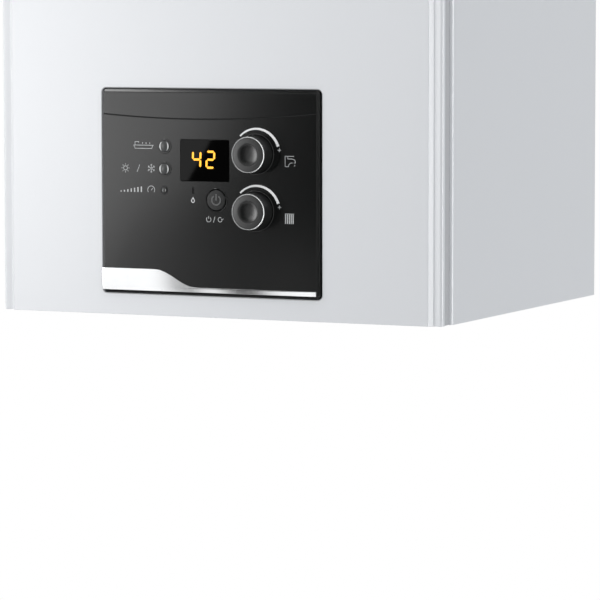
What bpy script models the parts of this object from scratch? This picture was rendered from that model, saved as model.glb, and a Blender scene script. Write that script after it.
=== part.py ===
"""Wall-mounted gas boiler, built from its casing, controls, burner group and water group.

Metres, +Z up. The wall is the plane y = 0, the front cover faces -Y, and x runs to the right as
someone facing the boiler sees it. The world origin lies on the back frame's back face, midway between
the hanging slots. Everything is modelled with z = 0 at the casing's lower edge, under one empty that
lowers it to hang from the origin.
"""

import math

import bmesh
import bpy
from mathutils import Matrix, Vector

# Driving dimensions of the casing
CASING_WIDTH = 0.410
CASING_HEIGHT = 0.740
CASING_DEPTH = 0.350
HANG_DROP = 0.050
SHEET = 0.001
FRAME_SHEET = 0.0012
SEAT = 0.0003
OVERRUN = 0.004
EMBED = 0.0005
MERGE = 0.00001

# Front cover: stepped edge seen in plan, from the face outwards
COVER_DEPTH = 0.0215
COVER_INSET = 0.001
COVER_CHAMFER = 0.005
COVER_BAND = 0.008
COVER_CORNER = 0.0025
COVER_LIP = 0.004
COVER_GROOVE = 0.002
COVER_GAP = 0.0008
PAD_THICKNESS = 0.006
PAD_MARGIN = 0.045
PAD_ABOVE_FASCIA = 0.050
STUD_INSET = 0.023
STUD_RADIUS = 0.0035
STUD_LENGTH = 0.011
STUD_MARGIN = 0.050
SOCKET_WALL = 0.0025

# Side panels and back frame
PANEL_EDGE_RADIUS = 0.0025
PANEL_FLANGE = 0.034
FRAME_FLANGE = 0.030
RIB_INNER_SHARE = 0.488
RIB_OUTER_SHARE = 0.683
RIB_SLOPE = 0.006
RIB_DEPTH = 0.008
SLOT_SPACING = 0.140
SLOT_RADIUS = 0.005
SLOT_LENGTH = 0.026
LOWER_SLOT_HEIGHT = 0.150
LID_FLANGE = 0.014
BLANK_RADIUS = 0.042
BLANK_RISE = 0.003
BLANK_OFFSET = 0.125

# Floor plate, cable gland and connection stubs
FLOOR_HEIGHT = 0.045
FLOOR_LIP = 0.014
FLOOR_FRONT = 0.070
EAR_LENGTH = 0.058
EAR_RISE = 0.050
EAR_DROP = 0.006
GLAND_INSET = 0.033
GLAND_Y = -0.235
GLAND_RADIUS = 0.0095
GLAND_NUT_RADIUS = 0.013
GLAND_NUT_HEIGHT = 0.006
GLAND_LENGTH = 0.012
GLAND_BORE = 0.005
STUB_SPACING_SHARE = 0.1585
STUB_WALL_DISTANCE = 0.110
STUB_END_HEIGHT = 0.008
STUB_TOP_RISE = 0.0138
WIDE_STUB_RADIUS = 0.0132
NARROW_STUB_RADIUS = 0.0105
STUB_WALL = 0.003
STUB_NUT_MARGIN = 0.0045
STUB_NUT_HEIGHT = 0.014
STUB_BORE_DEPTH = 0.046

# Fascia and what it carries; heights are above the fascia's lower edge
FASCIA_LEFT = -0.105
FASCIA_RIGHT = 0.097
FASCIA_BOTTOM = 0.019
FASCIA_HEIGHT = 0.1705
FASCIA_PROUD = 0.003
FASCIA_DEPTH = 0.0067
FASCIA_WALL = 0.003
FASCIA_BEVEL = 0.0022
FASCIA_RIM = 0.004
FASCIA_SKIRT = 0.008
SKIRT_WALL = 0.0018
FIT = 0.0004
PARTING_SHARES = ((0.01, 0.880), (0.26, 0.862), (0.53, 0.858), (0.78, 0.870), (0.99, 0.891))
PARTING_RADIUS = 0.0006
TRIM_LEFT = -0.1043
TRIM_RIGHT = 0.0945
TRIM_BASE = 0.0017
TRIM_TALL = 0.0203
TRIM_LOW = 0.0060
TRIM_CURVE_LEFT = -0.0548
TRIM_CURVE_RIGHT = -0.0154
TRIM_THICKNESS = 0.0009
TRIM_STEPS = 12
WINDOW_LEFT = -0.0303
WINDOW_RIGHT = 0.0148
WINDOW_BASE = 0.0945
WINDOW_TOP = 0.1294
WINDOW_THICKNESS = 0.0018
WINDOW_CORNER = 0.002
WINDOW_LEDGE = 0.003
KNOB_X = 0.039
UPPER_KNOB_HEIGHT = 0.118
LOWER_KNOB_HEIGHT = 0.071
KNOB_RADIUS = 0.015
KNOB_FOOT_RADIUS = 0.0156
KNOB_PROTRUSION = 0.016
KNOB_RECESS_RADIUS = 0.0178
KNOB_RECESS_DEPTH = 0.0012
KNOB_DISH_RADIUS = 0.0093
KNOB_DISH_DEPTH = 0.0022
DISH_SHARES = (0, 0.35, 0.7, 0.9, 1)
KNOB_RIM_WIDTH = 0.0011
KNOB_RIM_HEIGHT = 0.0012
KNOB_STEM_RADIUS = 0.003
KNOB_STEM_LENGTH = 0.016
BUTTON_X = -0.045
UPPER_BUTTON_HEIGHT = 0.1233
LOWER_BUTTON_HEIGHT = 0.1044
BUTTON_RADIUS = 0.0045
BUTTON_RISE = 0.0024
DOME_SHARES = (0, 0.4, 0.7, 0.9, 1)
DOME_REACH_SHARE = 0.9
BUTTON_FLANGE = 0.0012
BUTTON_FLANGE_HEIGHT = 0.001
BUTTON_TRAVEL = 0.0012
BUTTON_RING_WIDTH = 0.0013
BUTTON_RING_RISE = 0.0005
BUTTON_STEM_RADIUS = 0.002
POWER_X = 0.0032
POWER_HEIGHT = 0.0793
POWER_RADIUS = 0.0085
POWER_RISE = 0.0011
POWER_RING_WIDTH = 0.0011
PRESSURE_LAMP_X = -0.0455
PRESSURE_LAMP_HEIGHT = 0.0866
PRESSURE_LAMP_RADIUS = 0.003
BURNER_LAMP_X = -0.0188
BURNER_LAMP_HEIGHT = 0.0868
BURNER_LAMP_WIDTH = 0.0012
BURNER_LAMP_TALL = 0.0045
LAMP_RISE = 0.0005
LAMP_SHOULDER_SHARE = 0.8
LAMP_DEPTH = 0.008
BOARD_THICKNESS = 0.0016
BOARD_DISTANCE = 0.0165
POT_SIZE = 0.016
POT_HEIGHT = 0.006
POT_BUSH_RADIUS = 0.0048
SWITCH_SIZE = 0.006
POST_RADIUS = 0.003

# Control housing behind the fascia
HOUSING_MARGIN = 0.025
HOUSING_BASE_DROP = 0.007
HOUSING_DEPTH = 0.060
HOUSING_WALL = 0.0022
HOUSING_PIN_RADIUS = 0.004
HOUSING_PIN_BACK = 0.040
HOUSING_PIN_RISE = 0.050

# Burner, chamber, exchanger and fan, stacked upwards from the cradle
STACK_CLEARANCE = 0.087
STACK_DEPTH = 0.176
STACK_WALL_DISTANCE = 0.092
CRADLE_BASE = 0.234
CRADLE_HEIGHT = 0.0157
CRADLE_BAR = 0.012
TRAY_SHARE = 0.098
TRAY_SHEET = 0.0015
TRAY_LEDGE = 0.009
TRAY_WINDOW_BASE = 0.008
TRAY_WINDOW_HEIGHT = 0.018
BLADE_COUNT = 9
BLADE_WIDTH = 0.009
BLADE_DROP = 0.014
BLADE_MARGIN = 0.006
BLADE_BAR_HEIGHT = 0.006
BLADE_BAR_DEPTH = 0.010
BLADE_SLOT_COUNT = 3
BLADE_SLOT_WIDTH = 0.003
BLADE_SLOT_DEPTH = 0.005
MANIFOLD_DEPTH = 0.014
MANIFOLD_HEIGHT = 0.014
INJECTOR_RADIUS = 0.003
INJECTOR_TIP_RADIUS = 0.0015
INJECTOR_LENGTH = 0.005
CHAMBER_SHARE = 0.267
CHAMBER_SHEET = 0.0015
LINING_THICKNESS = 0.012
EXCHANGER_SHARE = 0.143
EXCHANGER_WALL = 0.002
FIN_COUNT = 18
FIN_THICKNESS = 0.0016
FIN_MARGIN = 0.002
FIN_END_MARGIN = 0.004
TUBE_COUNT = 5
TUBE_PITCH = 0.034
TUBE_RADIUS = 0.008
TUBE_REACH = 0.008
RETURN_BEND_STEPS = 6
HOOD_SHARE = 0.120
HOOD_SHEET = 0.0015
HOOD_TOP_HALF = 0.045
FAN_X = -0.062
FAN_WALL_DISTANCE = 0.180
SCROLL_START_RADIUS = 0.054
SCROLL_END_RADIUS = 0.088
SCROLL_SHARE = 0.106
SCROLL_SHEET = 0.0015
SCROLL_STEPS = 24
SCROLL_START_TURN = -0.125
SCROLL_TURN = 0.625
SCROLL_DUCT_END = 0.036
EYE_RADIUS = 0.034
WHEEL_RADIUS = 0.047
WHEEL_INNER_RADIUS = 0.036
WHEEL_CLEARANCE = 0.016
WHEEL_DISC = 0.002
WHEEL_BLADE = 0.0014
WHEEL_BLADES = 14
WHEEL_LEAN = 36
FAN_SHAFT_RADIUS = 0.003
FAN_MOTOR_RADIUS = 0.038
FAN_MOTOR_SHARE = 0.098
FAN_MOTOR_CAN_RADIUS = 0.030
FAN_MOTOR_CROWN_SHARE = 0.8
FLUE_WALL_DISTANCE = 0.125
FLUE_RADIUS = 0.030
FLUE_WALL = 0.0015
FLUE_RISE = 0.045
FLUE_DROP = 0.055
AIR_RADIUS = 0.050
AIR_RISE = 0.035
COLLAR_BASE_RADIUS = 0.062
COLLAR_BASE = 0.002
FLUE_OVERLAP = 0.015
ELECTRODE_SPACING = 0.022
ELECTRODE_RADIUS = 0.003

# Water group
BLOCK_FRONT = 0.150
BLOCK_BACK = 0.080
BLOCK_TOP = 0.118
BLOCK_INNER = 0.050
BLOCK_OVERHANG = 0.024
BLOCK_BEVEL = 0.003
RETURN_BLOCK_FRONT = 0.182
VALVE_HALF_WIDTH = 0.040
VALVE_FRONT = 0.158
VALVE_BACK = 0.086
VALVE_TOP = 0.158
VALVE_CAP_RADIUS = 0.024
VALVE_CAP_LENGTH = 0.026
COIL_RADIUS = 0.013
COIL_HEIGHT = 0.022
COIL_SPACING = 0.036
PLATES_HALF_WIDTH = 0.098
PLATES_BACK = 0.032
PLATES_BASE = 0.068
PLATES_HEIGHT = 0.076
PLATE_COUNT = 11
PLATE_GROOVE = 0.002
PUMP_OFFSET = 0.014
PUMP_CLEARANCE = 0.002
PUMP_BACK = 0.146
PUMP_DEPTH = 0.038
VOLUTE_RADIUS = 0.045
PUMP_BORE_RADIUS = 0.033
PUMP_BORE_DEPTH = 0.022
PUMP_NECK_RADIUS = 0.016
PUMP_PORT_RADIUS = 0.011
PUMP_MOTOR_RADIUS = 0.042
PUMP_MOTOR_LENGTH = 0.070
PUMP_FIN_COUNT = 20
PUMP_FIN_DEPTH = 0.003
PUMP_FIN_CREST_SHARES = (0, 0.5)
PUMP_FIN_GROOVE_SHARES = (0.6, 0.9)
IMPELLER_RADIUS = 0.030
IMPELLER_DISC = 0.003
IMPELLER_VANE = 0.009
IMPELLER_VANES = 6
IMPELLER_LEAN = 22.5
PUMP_SHAFT_RADIUS = 0.004
PUMP_SHAFT_LENGTH = 0.050
PIPE_RADIUS = 0.009
GAS_PIPE_RADIUS = 0.006
VESSEL_PIPE_RADIUS = 0.005
PIPE_BEND = 0.020
PIPE_DROP_OFFSET = 0.034
BEND_STEPS = 5
DIVERTER_X = -0.112
DIVERTER_HEIGHT = 0.090
DIVERTER_HALF = 0.022
DIVERTER_LENGTH = 0.048
DIVERTER_CAP_RADIUS = 0.014
DIVERTER_CAP_LENGTH = 0.010
STEM_RADIUS = 0.003
STEM_REACH = 0.024
STEM_TRAVEL = 0.006
RELIEF_X = 0.082
RELIEF_HEIGHT = 0.088
RELIEF_RADIUS = 0.013
RELIEF_LENGTH = 0.026
RELIEF_CAP_RADIUS = 0.0135
RELIEF_CAP_LENGTH = 0.020
RELIEF_CAP_FLUTES = 12
RELIEF_CAP_FLUTE_DEPTH = 0.0012
CAP_PIN_RADIUS = 0.003
CAP_PIN_LENGTH = 0.010
FILLING_X = 0.097
FILLING_WALL_DISTANCE = 0.152
FILLING_RADIUS = 0.011
FILLING_NUT_RADIUS = 0.014
FILLING_BASE = 0.032
FILLING_KNOB_RADIUS = 0.015
FILLING_KNOB_HEIGHT = 0.018
VESSEL_RADIUS = 0.160
VESSEL_DEPTH = 0.054
VESSEL_SEAM = 0.006
VESSEL_SEAM_HEIGHT = 0.006
VESSEL_FLAT_RADIUS = 0.142
VESSEL_RISE = 0.0163
VESSEL_NIPPLE = 0.008
VENT_X = -0.078
VENT_RADIUS = 0.014
VENT_CROWN_SHARE = 0.9
VENT_HEIGHT = 0.042
VENT_FOOT_RADIUS = 0.008
VENT_FOOT = 0.008
PRESSURE_SWITCH_INSET = 0.030
PRESSURE_SWITCH_DROP = 0.090
PRESSURE_SWITCH_RADIUS = 0.024
PRESSURE_SWITCH_DEPTH = 0.030
PRESSURE_SWITCH_SHARES = (
    (0, 1), (0.25, 1), (0.25, 0.7), (0.8, 0.6), (0.8, 0.5),
    (1, 0.45), (1, 0.3), (0.5, 0.25), (0.5, 0), (0, 0),
)

# Facets
FINE_SIDES = 32
ROUND_SIDES = 20
PLAIN_SIDES = 12
SMALL_SIDES = 8
HEX_SIDES = 6
SMOOTH_ANGLE = math.radians(35)

# Planes and places that several pieces share
HALF_WIDTH = CASING_WIDTH / 2
FRONT_Y = -CASING_DEPTH
COVER_INSIDE_Y = FRONT_Y + SHEET
PANEL_FRONT_Y = FRONT_Y + COVER_DEPTH
COVER_BACK_Y = PANEL_FRONT_Y - SEAT
FRAME_HALF = HALF_WIDTH - SHEET - SEAT
FRAME_TOP = CASING_HEIGHT - SHEET - SEAT
LID_HALF = FRAME_HALF - FRAME_SHEET - SEAT
LID_UNDERSIDE = CASING_HEIGHT - SHEET
RIB_INNER = RIB_INNER_SHARE * HALF_WIDTH
RIB_OUTER = RIB_OUTER_SHARE * HALF_WIDTH
RIB_FACE_Y = -RIB_DEPTH - FRAME_SHEET
FRAME_SEAT_Y = RIB_FACE_Y - SEAT
HANG_HEIGHT = CASING_HEIGHT - HANG_DROP
FLOOR_TOP = FLOOR_HEIGHT + FRAME_SHEET
FLOOR_FRONT_Y = FRONT_Y + FLOOR_FRONT
GLAND_X = HALF_WIDTH - GLAND_INSET
STUB_SPACING = STUB_SPACING_SHARE * CASING_WIDTH
STUB_Y = -STUB_WALL_DISTANCE
STUB_TOP = FLOOR_TOP + STUB_TOP_RISE
BLOCK_BASE = STUB_TOP + SEAT
FASCIA_TOP = FASCIA_BOTTOM + FASCIA_HEIGHT
FASCIA_FACE_Y = FRONT_Y - FASCIA_PROUD
FASCIA_BACK_Y = FASCIA_FACE_Y + FASCIA_DEPTH
FASCIA_INSIDE_Y = FASCIA_FACE_Y + FASCIA_WALL
HOUSING_FACE_Y = FASCIA_BACK_Y + SEAT
HOUSING_BACK_Y = HOUSING_FACE_Y + HOUSING_DEPTH
HOUSING_LEFT = FASCIA_LEFT - HOUSING_MARGIN
HOUSING_RIGHT = FASCIA_RIGHT + HOUSING_MARGIN
HOUSING_BASE = FASCIA_BOTTOM - HOUSING_BASE_DROP
HOUSING_TOP = FASCIA_TOP + HOUSING_BASE_DROP
BOARD_Y = FASCIA_INSIDE_Y + BOARD_DISTANCE
KNOB_BACK_Y = FASCIA_FACE_Y + KNOB_RECESS_DEPTH - SEAT
CRADLE_TOP = CRADLE_BASE + CRADLE_HEIGHT
STACK_ROOM = CASING_HEIGHT - CRADLE_TOP
STACK_HALF_WIDTH = HALF_WIDTH - STACK_CLEARANCE
TRAY_HEIGHT = TRAY_SHARE * STACK_ROOM
BLADE_HEIGHT = TRAY_HEIGHT - BLADE_DROP
CHAMBER_HEIGHT = CHAMBER_SHARE * STACK_ROOM
EXCHANGER_HEIGHT = EXCHANGER_SHARE * STACK_ROOM
HOOD_HEIGHT = HOOD_SHARE * STACK_ROOM
SCROLL_HEIGHT = SCROLL_SHARE * STACK_ROOM
WHEEL_HEIGHT = SCROLL_HEIGHT - WHEEL_CLEARANCE
FAN_MOTOR_HEIGHT = FAN_MOTOR_SHARE * STACK_ROOM
TRAY_BASE = CRADLE_TOP + SEAT
TRAY_TOP = TRAY_BASE + TRAY_HEIGHT
CHAMBER_BASE = TRAY_TOP + SEAT
CHAMBER_TOP = CHAMBER_BASE + CHAMBER_HEIGHT
EXCHANGER_BASE = CHAMBER_TOP + SEAT
EXCHANGER_TOP = EXCHANGER_BASE + EXCHANGER_HEIGHT
TUBE_HEIGHT = EXCHANGER_BASE + EXCHANGER_HEIGHT / 2
HOOD_BASE = EXCHANGER_TOP + SEAT
HOOD_TOP = HOOD_BASE + HOOD_HEIGHT
SCROLL_BASE = HOOD_TOP + SEAT
SCROLL_TOP = SCROLL_BASE + SCROLL_HEIGHT
STACK_BACK_Y = -STACK_WALL_DISTANCE
STACK_FRONT_Y = STACK_BACK_Y - STACK_DEPTH
STACK_MID_Y = (STACK_BACK_Y + STACK_FRONT_Y) / 2
FAN_Y = -FAN_WALL_DISTANCE
FLUE_Y = -FLUE_WALL_DISTANCE
COLLAR_SEAT = CASING_HEIGHT + SEAT
PIPE_DROP_X = STACK_HALF_WIDTH + PIPE_DROP_OFFSET
BLOCK_OUTER = PIPE_DROP_X + BLOCK_OVERHANG
PUMP_X = STACK_HALF_WIDTH + PUMP_OFFSET
PUMP_HEIGHT = BLOCK_TOP + PUMP_CLEARANCE + VOLUTE_RADIUS
PUMP_FACE_Y = -PUMP_BACK - PUMP_DEPTH
PUMP_MID_Y = -PUMP_BACK - PUMP_DEPTH / 2
PUMP_PORT_TOP = PUMP_HEIGHT + VOLUTE_RADIUS + PUMP_PORT_RADIUS / 2
VESSEL_HEIGHT = CRADLE_TOP + VESSEL_RISE + VESSEL_RADIUS + VESSEL_SEAM
VESSEL_Y = FRAME_SEAT_Y - VESSEL_DEPTH / 2
SWITCH_TOP_Y = BOARD_Y - SWITCH_SIZE / 2
PRESSURE_SWITCH_X = HALF_WIDTH - PRESSURE_SWITCH_INSET
PRESSURE_SWITCH_HEIGHT = CASING_HEIGHT - PRESSURE_SWITCH_DROP

# Turning matrices: where a turned shape's own +Z points
ALONG = {
    "X": Matrix.Rotation(math.pi / 2, 4, "Y"),
    "BACK": Matrix.Rotation(-math.pi / 2, 4, "X"),
    "FRONT": Matrix.Rotation(math.pi / 2, 4, "X"),
    "UP": Matrix.Identity(4),
    "DOWN": Matrix.Rotation(math.pi, 4, "X"),
}
PLAN = Matrix.Identity(4)
FRONT_VIEW = Matrix.Rotation(math.pi / 2, 4, "X")


def clear_scene():
    for old in list(bpy.data.objects):
        bpy.data.objects.remove(old, do_unlink=True)


def collection(name):
    made = bpy.data.collections.new(name)
    bpy.context.scene.collection.children.link(made)
    return made


def helper(name, mesh, place=None):
    """A mesh object in the collection of cutters and joined shapes, until it is made a part."""
    made = bpy.data.objects.new(name, mesh)
    CUTTERS.objects.link(made)
    made.parent = ROOT
    made.matrix_basis = place or Matrix.Identity(4)
    made.hide_render = True
    made.display_type = "WIRE"
    return made


def shape(name, sculpt, place=None):
    """A helper whose mesh the function sculpt fills."""
    mesh = bpy.data.meshes.new(name)
    work = bmesh.new()
    sculpt(work)
    work.to_mesh(mesh)
    work.free()
    return helper(name, mesh, place)


def boxes(name, bounds):
    """Separate boxes in one mesh, each from its bounds along x, y and z."""

    def sculpt(work):
        for x, y, z in bounds:
            size = Vector((x[1] - x[0], y[1] - y[0], z[1] - z[0]))
            middle = Vector((x[0] + x[1], y[0] + y[1], z[0] + z[1])) / 2
            place = Matrix.Translation(middle) @ Matrix.Diagonal(size.to_4d())
            bmesh.ops.create_cube(work, size=1, matrix=place)

    return shape(name, sculpt)


def box(name, x, y, z):
    return boxes(name, [(x, y, z)])


def rods(name, direction, length, starts, radius, sides=PLAIN_SIDES, end_radius=None):
    """Separate cylinders or cones in one mesh, each running the same way from its start."""

    def sculpt(work):
        for start in starts:
            lift = Matrix.Translation(Vector((0, 0, length / 2)))
            bmesh.ops.create_cone(
                work,
                cap_ends=True,
                segments=sides,
                radius1=radius,
                radius2=radius if end_radius is None else end_radius,
                depth=length,
                matrix=Matrix.Translation(Vector(start)) @ ALONG[direction] @ lift,
            )

    return shape(name, sculpt)


def rod(name, direction, length, start, radius, sides=PLAIN_SIDES, end_radius=None):
    return rods(name, direction, length, [start], radius, sides, end_radius)


def bores(name, direction, length, starts, radius, sides=PLAIN_SIDES):
    """Cutters for round holes, whose flats clear a round piece of the radius."""
    return rods(name, direction, length, starts, radius / math.cos(math.pi / sides), sides)


def bore(name, direction, length, start, radius, sides=PLAIN_SIDES):
    return bores(name, direction, length, [start], radius, sides)


def turned(name, direction, start, profile, sides=ROUND_SIDES, ring=False):
    """A profile of radius and height, read down its outer side, turned about the line from start."""

    def sculpt(work):
        points = [work.verts.new((radius, 0, height)) for radius, height in profile]
        for first, second in zip(points, points[1:]):
            work.edges.new((first, second))
        if ring:
            work.edges.new((points[-1], points[0]))

    made = shape(name, sculpt, Matrix.Translation(Vector(start)) @ ALONG[direction])
    screw = made.modifiers.new("Turn", "SCREW")
    screw.axis = "Z"
    screw.steps = sides
    screw.render_steps = sides
    screw.use_merge_vertices = True
    screw.merge_threshold = MERGE
    screw.use_smooth_shade = True
    return made


def outline(name, view, points, start, depth, holes=()):
    """A flat outline, with any holes, given a depth along the way its view looks out."""
    curve = bpy.data.curves.new(name, "CURVE")
    curve.dimensions = "2D"
    curve.fill_mode = "BOTH"
    curve.extrude = depth / 2
    for loop in [points, *holes]:
        spline = curve.splines.new("POLY")
        spline.points.add(len(loop) - 1)
        for spot, (u, v) in zip(spline.points, loop):
            spot.co = (u, v, 0, 1)
        spline.use_cyclic_u = True
    lift = Vector((0, 0, start + depth / 2))
    return mesh_of_curve(name, curve, view @ Matrix.Translation(lift))


def mesh_of_curve(name, curve, place):
    guide = bpy.data.objects.new(name, curve)
    CUTTERS.objects.link(guide)
    evaluated = guide.evaluated_get(bpy.context.evaluated_depsgraph_get())
    mesh = bpy.data.meshes.new_from_object(evaluated)
    bpy.data.objects.remove(guide, do_unlink=True)
    work = bmesh.new()
    work.from_mesh(mesh)
    bmesh.ops.remove_doubles(work, verts=work.verts, dist=MERGE)
    bmesh.ops.recalc_face_normals(work, faces=work.faces)
    work.to_mesh(mesh)
    work.free()
    return helper(name, mesh, place)


def tube(name, points, radius):
    """A round bar along the points."""
    curve = bpy.data.curves.new(name, "CURVE")
    curve.dimensions = "3D"
    curve.bevel_depth = radius
    curve.bevel_resolution = 2
    curve.use_fill_caps = True
    spline = curve.splines.new("POLY")
    spline.points.add(len(points) - 1)
    for spot, point in zip(spline.points, points):
        spot.co = (*point, 1)
    return mesh_of_curve(name, curve, Matrix.Identity(4))


def rounded_route(corners, radius):
    """The route through the corners, with each inner corner rounded to the radius."""
    corners = [Vector(corner) for corner in corners]
    route = [corners[0]]
    for before, corner, after in zip(corners, corners[1:], corners[2:]):
        into = (corner - before).normalized()
        out = (after - corner).normalized()
        turn = into.angle(out)
        reach = min(radius * math.tan(turn / 2), (corner - before).length / 2, (after - corner).length / 2)
        bend = reach / math.tan(turn / 2)
        centre = corner - into * reach + (out - into * into.dot(out)).normalized() * bend
        start = corner - into * reach - centre
        axis = into.cross(out).normalized()
        for step in range(BEND_STEPS + 1):
            turned_by = Matrix.Rotation(turn * step / BEND_STEPS, 3, axis)
            route.append(centre + turned_by @ start)
    route.append(corners[-1])
    return route


def sheet(name, points, height, thickness, base=0.0):
    """A bent sheet: an open line in plan, raised to the height and thickened to its right-hand side."""

    def sculpt(work):
        low = [work.verts.new((x, y, base)) for x, y in points]
        high = [work.verts.new((x, y, base + height)) for x, y in points]
        for k in range(len(points) - 1):
            work.faces.new((low[k], low[k + 1], high[k + 1], high[k]))

    made = shape(name, sculpt)
    thicken(made, thickness)
    return made


def thicken(made, thickness):
    solid = made.modifiers.new("Thickness", "SOLIDIFY")
    solid.thickness = thickness
    solid.offset = -1
    solid.use_even_offset = True


def boolean(target, others, operation):
    for other in others:
        change = target.modifiers.new(operation.title(), "BOOLEAN")
        change.operation = operation
        change.object = other
        change.solver = "EXACT"
    return target


def cut(target, *cutters):
    return boolean(target, cutters, "DIFFERENCE")


def join(target, *others):
    return boolean(target, others, "UNION")


def bevel(made, width, segments=2):
    rounding = made.modifiers.new("Edges", "BEVEL")
    rounding.width = width
    rounding.segments = segments
    rounding.limit_method = "ANGLE"
    rounding.angle_limit = math.radians(40)
    return made


def part(made, name, material, parent=None):
    """Turn a helper into a named sub-part with its material."""
    made.name = name
    made.data.name = name
    CUTTERS.objects.unlink(made)
    PARTS.objects.link(made)
    made.hide_render = False
    made.display_type = "TEXTURED"
    made.data.materials.clear()
    made.data.materials.append(material)
    made.data.shade_smooth()
    made.data.set_sharp_from_angle(angle=SMOOTH_ANGLE)
    if parent:
        made.parent = parent
        made.matrix_basis = parent.matrix_basis.inverted() @ made.matrix_basis
    return made


def pivot(name, place):
    """An empty on a moving body's axis."""
    made = bpy.data.objects.new(name, None)
    PARTS.objects.link(made)
    made.parent = ROOT
    made.matrix_basis = Matrix.Translation(Vector(place))
    return made


def material(name, colour, roughness, metallic=0.0):
    made = bpy.data.materials.new(name)
    made.use_nodes = True
    shader = made.node_tree.nodes["Principled BSDF"]
    shader.inputs["Base Color"].default_value = (*colour, 1.0)
    shader.inputs["Roughness"].default_value = roughness
    shader.inputs["Metallic"].default_value = metallic
    return made


def mirrored(points):
    """The points, then their mirror images in reverse, for an outline symmetric about x = 0."""
    return points + [(-x, y) for x, y in reversed(points)]


def arc(centre, radius, start, end, steps=3):
    angles = [start + (end - start) * k / steps for k in range(steps + 1)]
    return [(centre[0] + radius * math.cos(a), centre[1] + radius * math.sin(a)) for a in angles]


def slot_outline(x, z, radius, length):
    """An upright slot with round ends."""
    reach = length / 2 - radius
    upper = arc((x, z + reach), radius, 0, math.pi, steps=6)
    lower = arc((x, z - reach), radius, math.pi, 2 * math.pi, steps=6)
    return upper + lower


def rounded_box_outline(left, right, low, high, radius):
    corners = ((right, high, 0), (left, high, 1), (left, low, 2), (right, low, 3))
    points = []
    for x, z, quarter in corners:
        centre = (x - math.copysign(radius, x - (left + right) / 2),
                  z - math.copysign(radius, z - (low + high) / 2))
        points += arc(centre, radius, quarter * math.pi / 2, (quarter + 1) * math.pi / 2)
    return points


def front_outline(name, points, face_y, depth, holes=()):
    """An outline seen from the front, from face_y back through the depth."""
    return outline(name, FRONT_VIEW, points, -face_y - depth, depth, holes)


# Casing


def back_frame(paint):
    half = [
        (FRAME_HALF, -FRAME_FLANGE),
        (FRAME_HALF, 0),
        (RIB_OUTER, 0),
        (RIB_OUTER - RIB_SLOPE, -RIB_DEPTH),
        (RIB_INNER + RIB_SLOPE, -RIB_DEPTH),
        (RIB_INNER, 0),
    ]
    frame = sheet("back_frame", mirrored(half), FRAME_TOP, FRAME_SHEET)
    for z in (HANG_HEIGHT, LOWER_SLOT_HEIGHT):
        for x in (-SLOT_SPACING / 2, SLOT_SPACING / 2):
            points = slot_outline(x, z, SLOT_RADIUS, SLOT_LENGTH)
            cut(frame, front_outline("slot_cutter", points, -OVERRUN, 2 * OVERRUN))
    part(frame, "back_frame", paint)


def side_panel(name, side, paint):
    """side is 1 for the right panel and -1 for the left one."""
    edge = (HALF_WIDTH - PANEL_EDGE_RADIUS, PANEL_FRONT_Y + PANEL_EDGE_RADIUS)
    points = [(HALF_WIDTH - PANEL_FLANGE, PANEL_FRONT_Y)]
    points += arc(edge, PANEL_EDGE_RADIUS, -math.pi / 2, 0)
    points += [(HALF_WIDTH, -SEAT)]
    points = [(side * x, y) for x, y in points]
    panel = sheet(name, points if side > 0 else points[::-1], FRAME_TOP, SHEET)
    heights = (STUD_MARGIN, CASING_HEIGHT - STUD_MARGIN)
    starts = [(side * (HALF_WIDTH - STUD_INSET), PANEL_FRONT_Y + SHEET / 2, z) for z in heights]
    join(panel, rods("stud", "FRONT", STUD_LENGTH, starts, STUD_RADIUS, SMALL_SIDES))
    part(panel, name, paint)


def top_panel(paint):
    lid = box("lid", (-HALF_WIDTH, HALF_WIDTH), (PANEL_FRONT_Y, 0), (LID_UNDERSIDE, CASING_HEIGHT))
    front = PANEL_FRONT_Y + SHEET + SEAT
    rim_height = (LID_UNDERSIDE - LID_FLANGE, LID_UNDERSIDE + EMBED)
    rim = box("lid_rim", (-LID_HALF, LID_HALF), (front, FRAME_SEAT_Y), rim_height)
    inner = LID_HALF - SHEET
    hollow = box(
        "lid_hollow",
        (-inner, inner),
        (front + SHEET, FRAME_SEAT_Y - SHEET),
        (LID_UNDERSIDE - LID_FLANGE - OVERRUN, LID_UNDERSIDE + OVERRUN),
    )
    cut(rim, hollow)
    blank_start = (-BLANK_OFFSET, FLUE_Y, LID_UNDERSIDE + EMBED)
    blank = rod("air_hole_blank", "UP", BLANK_RISE, blank_start, BLANK_RADIUS, ROUND_SIDES)
    join(lid, rim, blank)
    hole_start = (0, FLUE_Y, LID_UNDERSIDE - OVERRUN)
    cut(lid, bore("flue_hole", "UP", SHEET + 2 * OVERRUN, hole_start, AIR_RADIUS, ROUND_SIDES))
    part(lid, "top_panel", paint)


def stub_places():
    """Each connection's name, x and outer radius, from left to right."""
    wide = WIDE_STUB_RADIUS
    narrow = NARROW_STUB_RADIUS
    return (
        ("heating_flow_stub", -2 * STUB_SPACING, wide),
        ("hot_water_stub", -STUB_SPACING, narrow),
        ("gas_stub", 0, wide),
        ("cold_water_stub", STUB_SPACING, narrow),
        ("heating_return_stub", 2 * STUB_SPACING, wide),
    )


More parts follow.
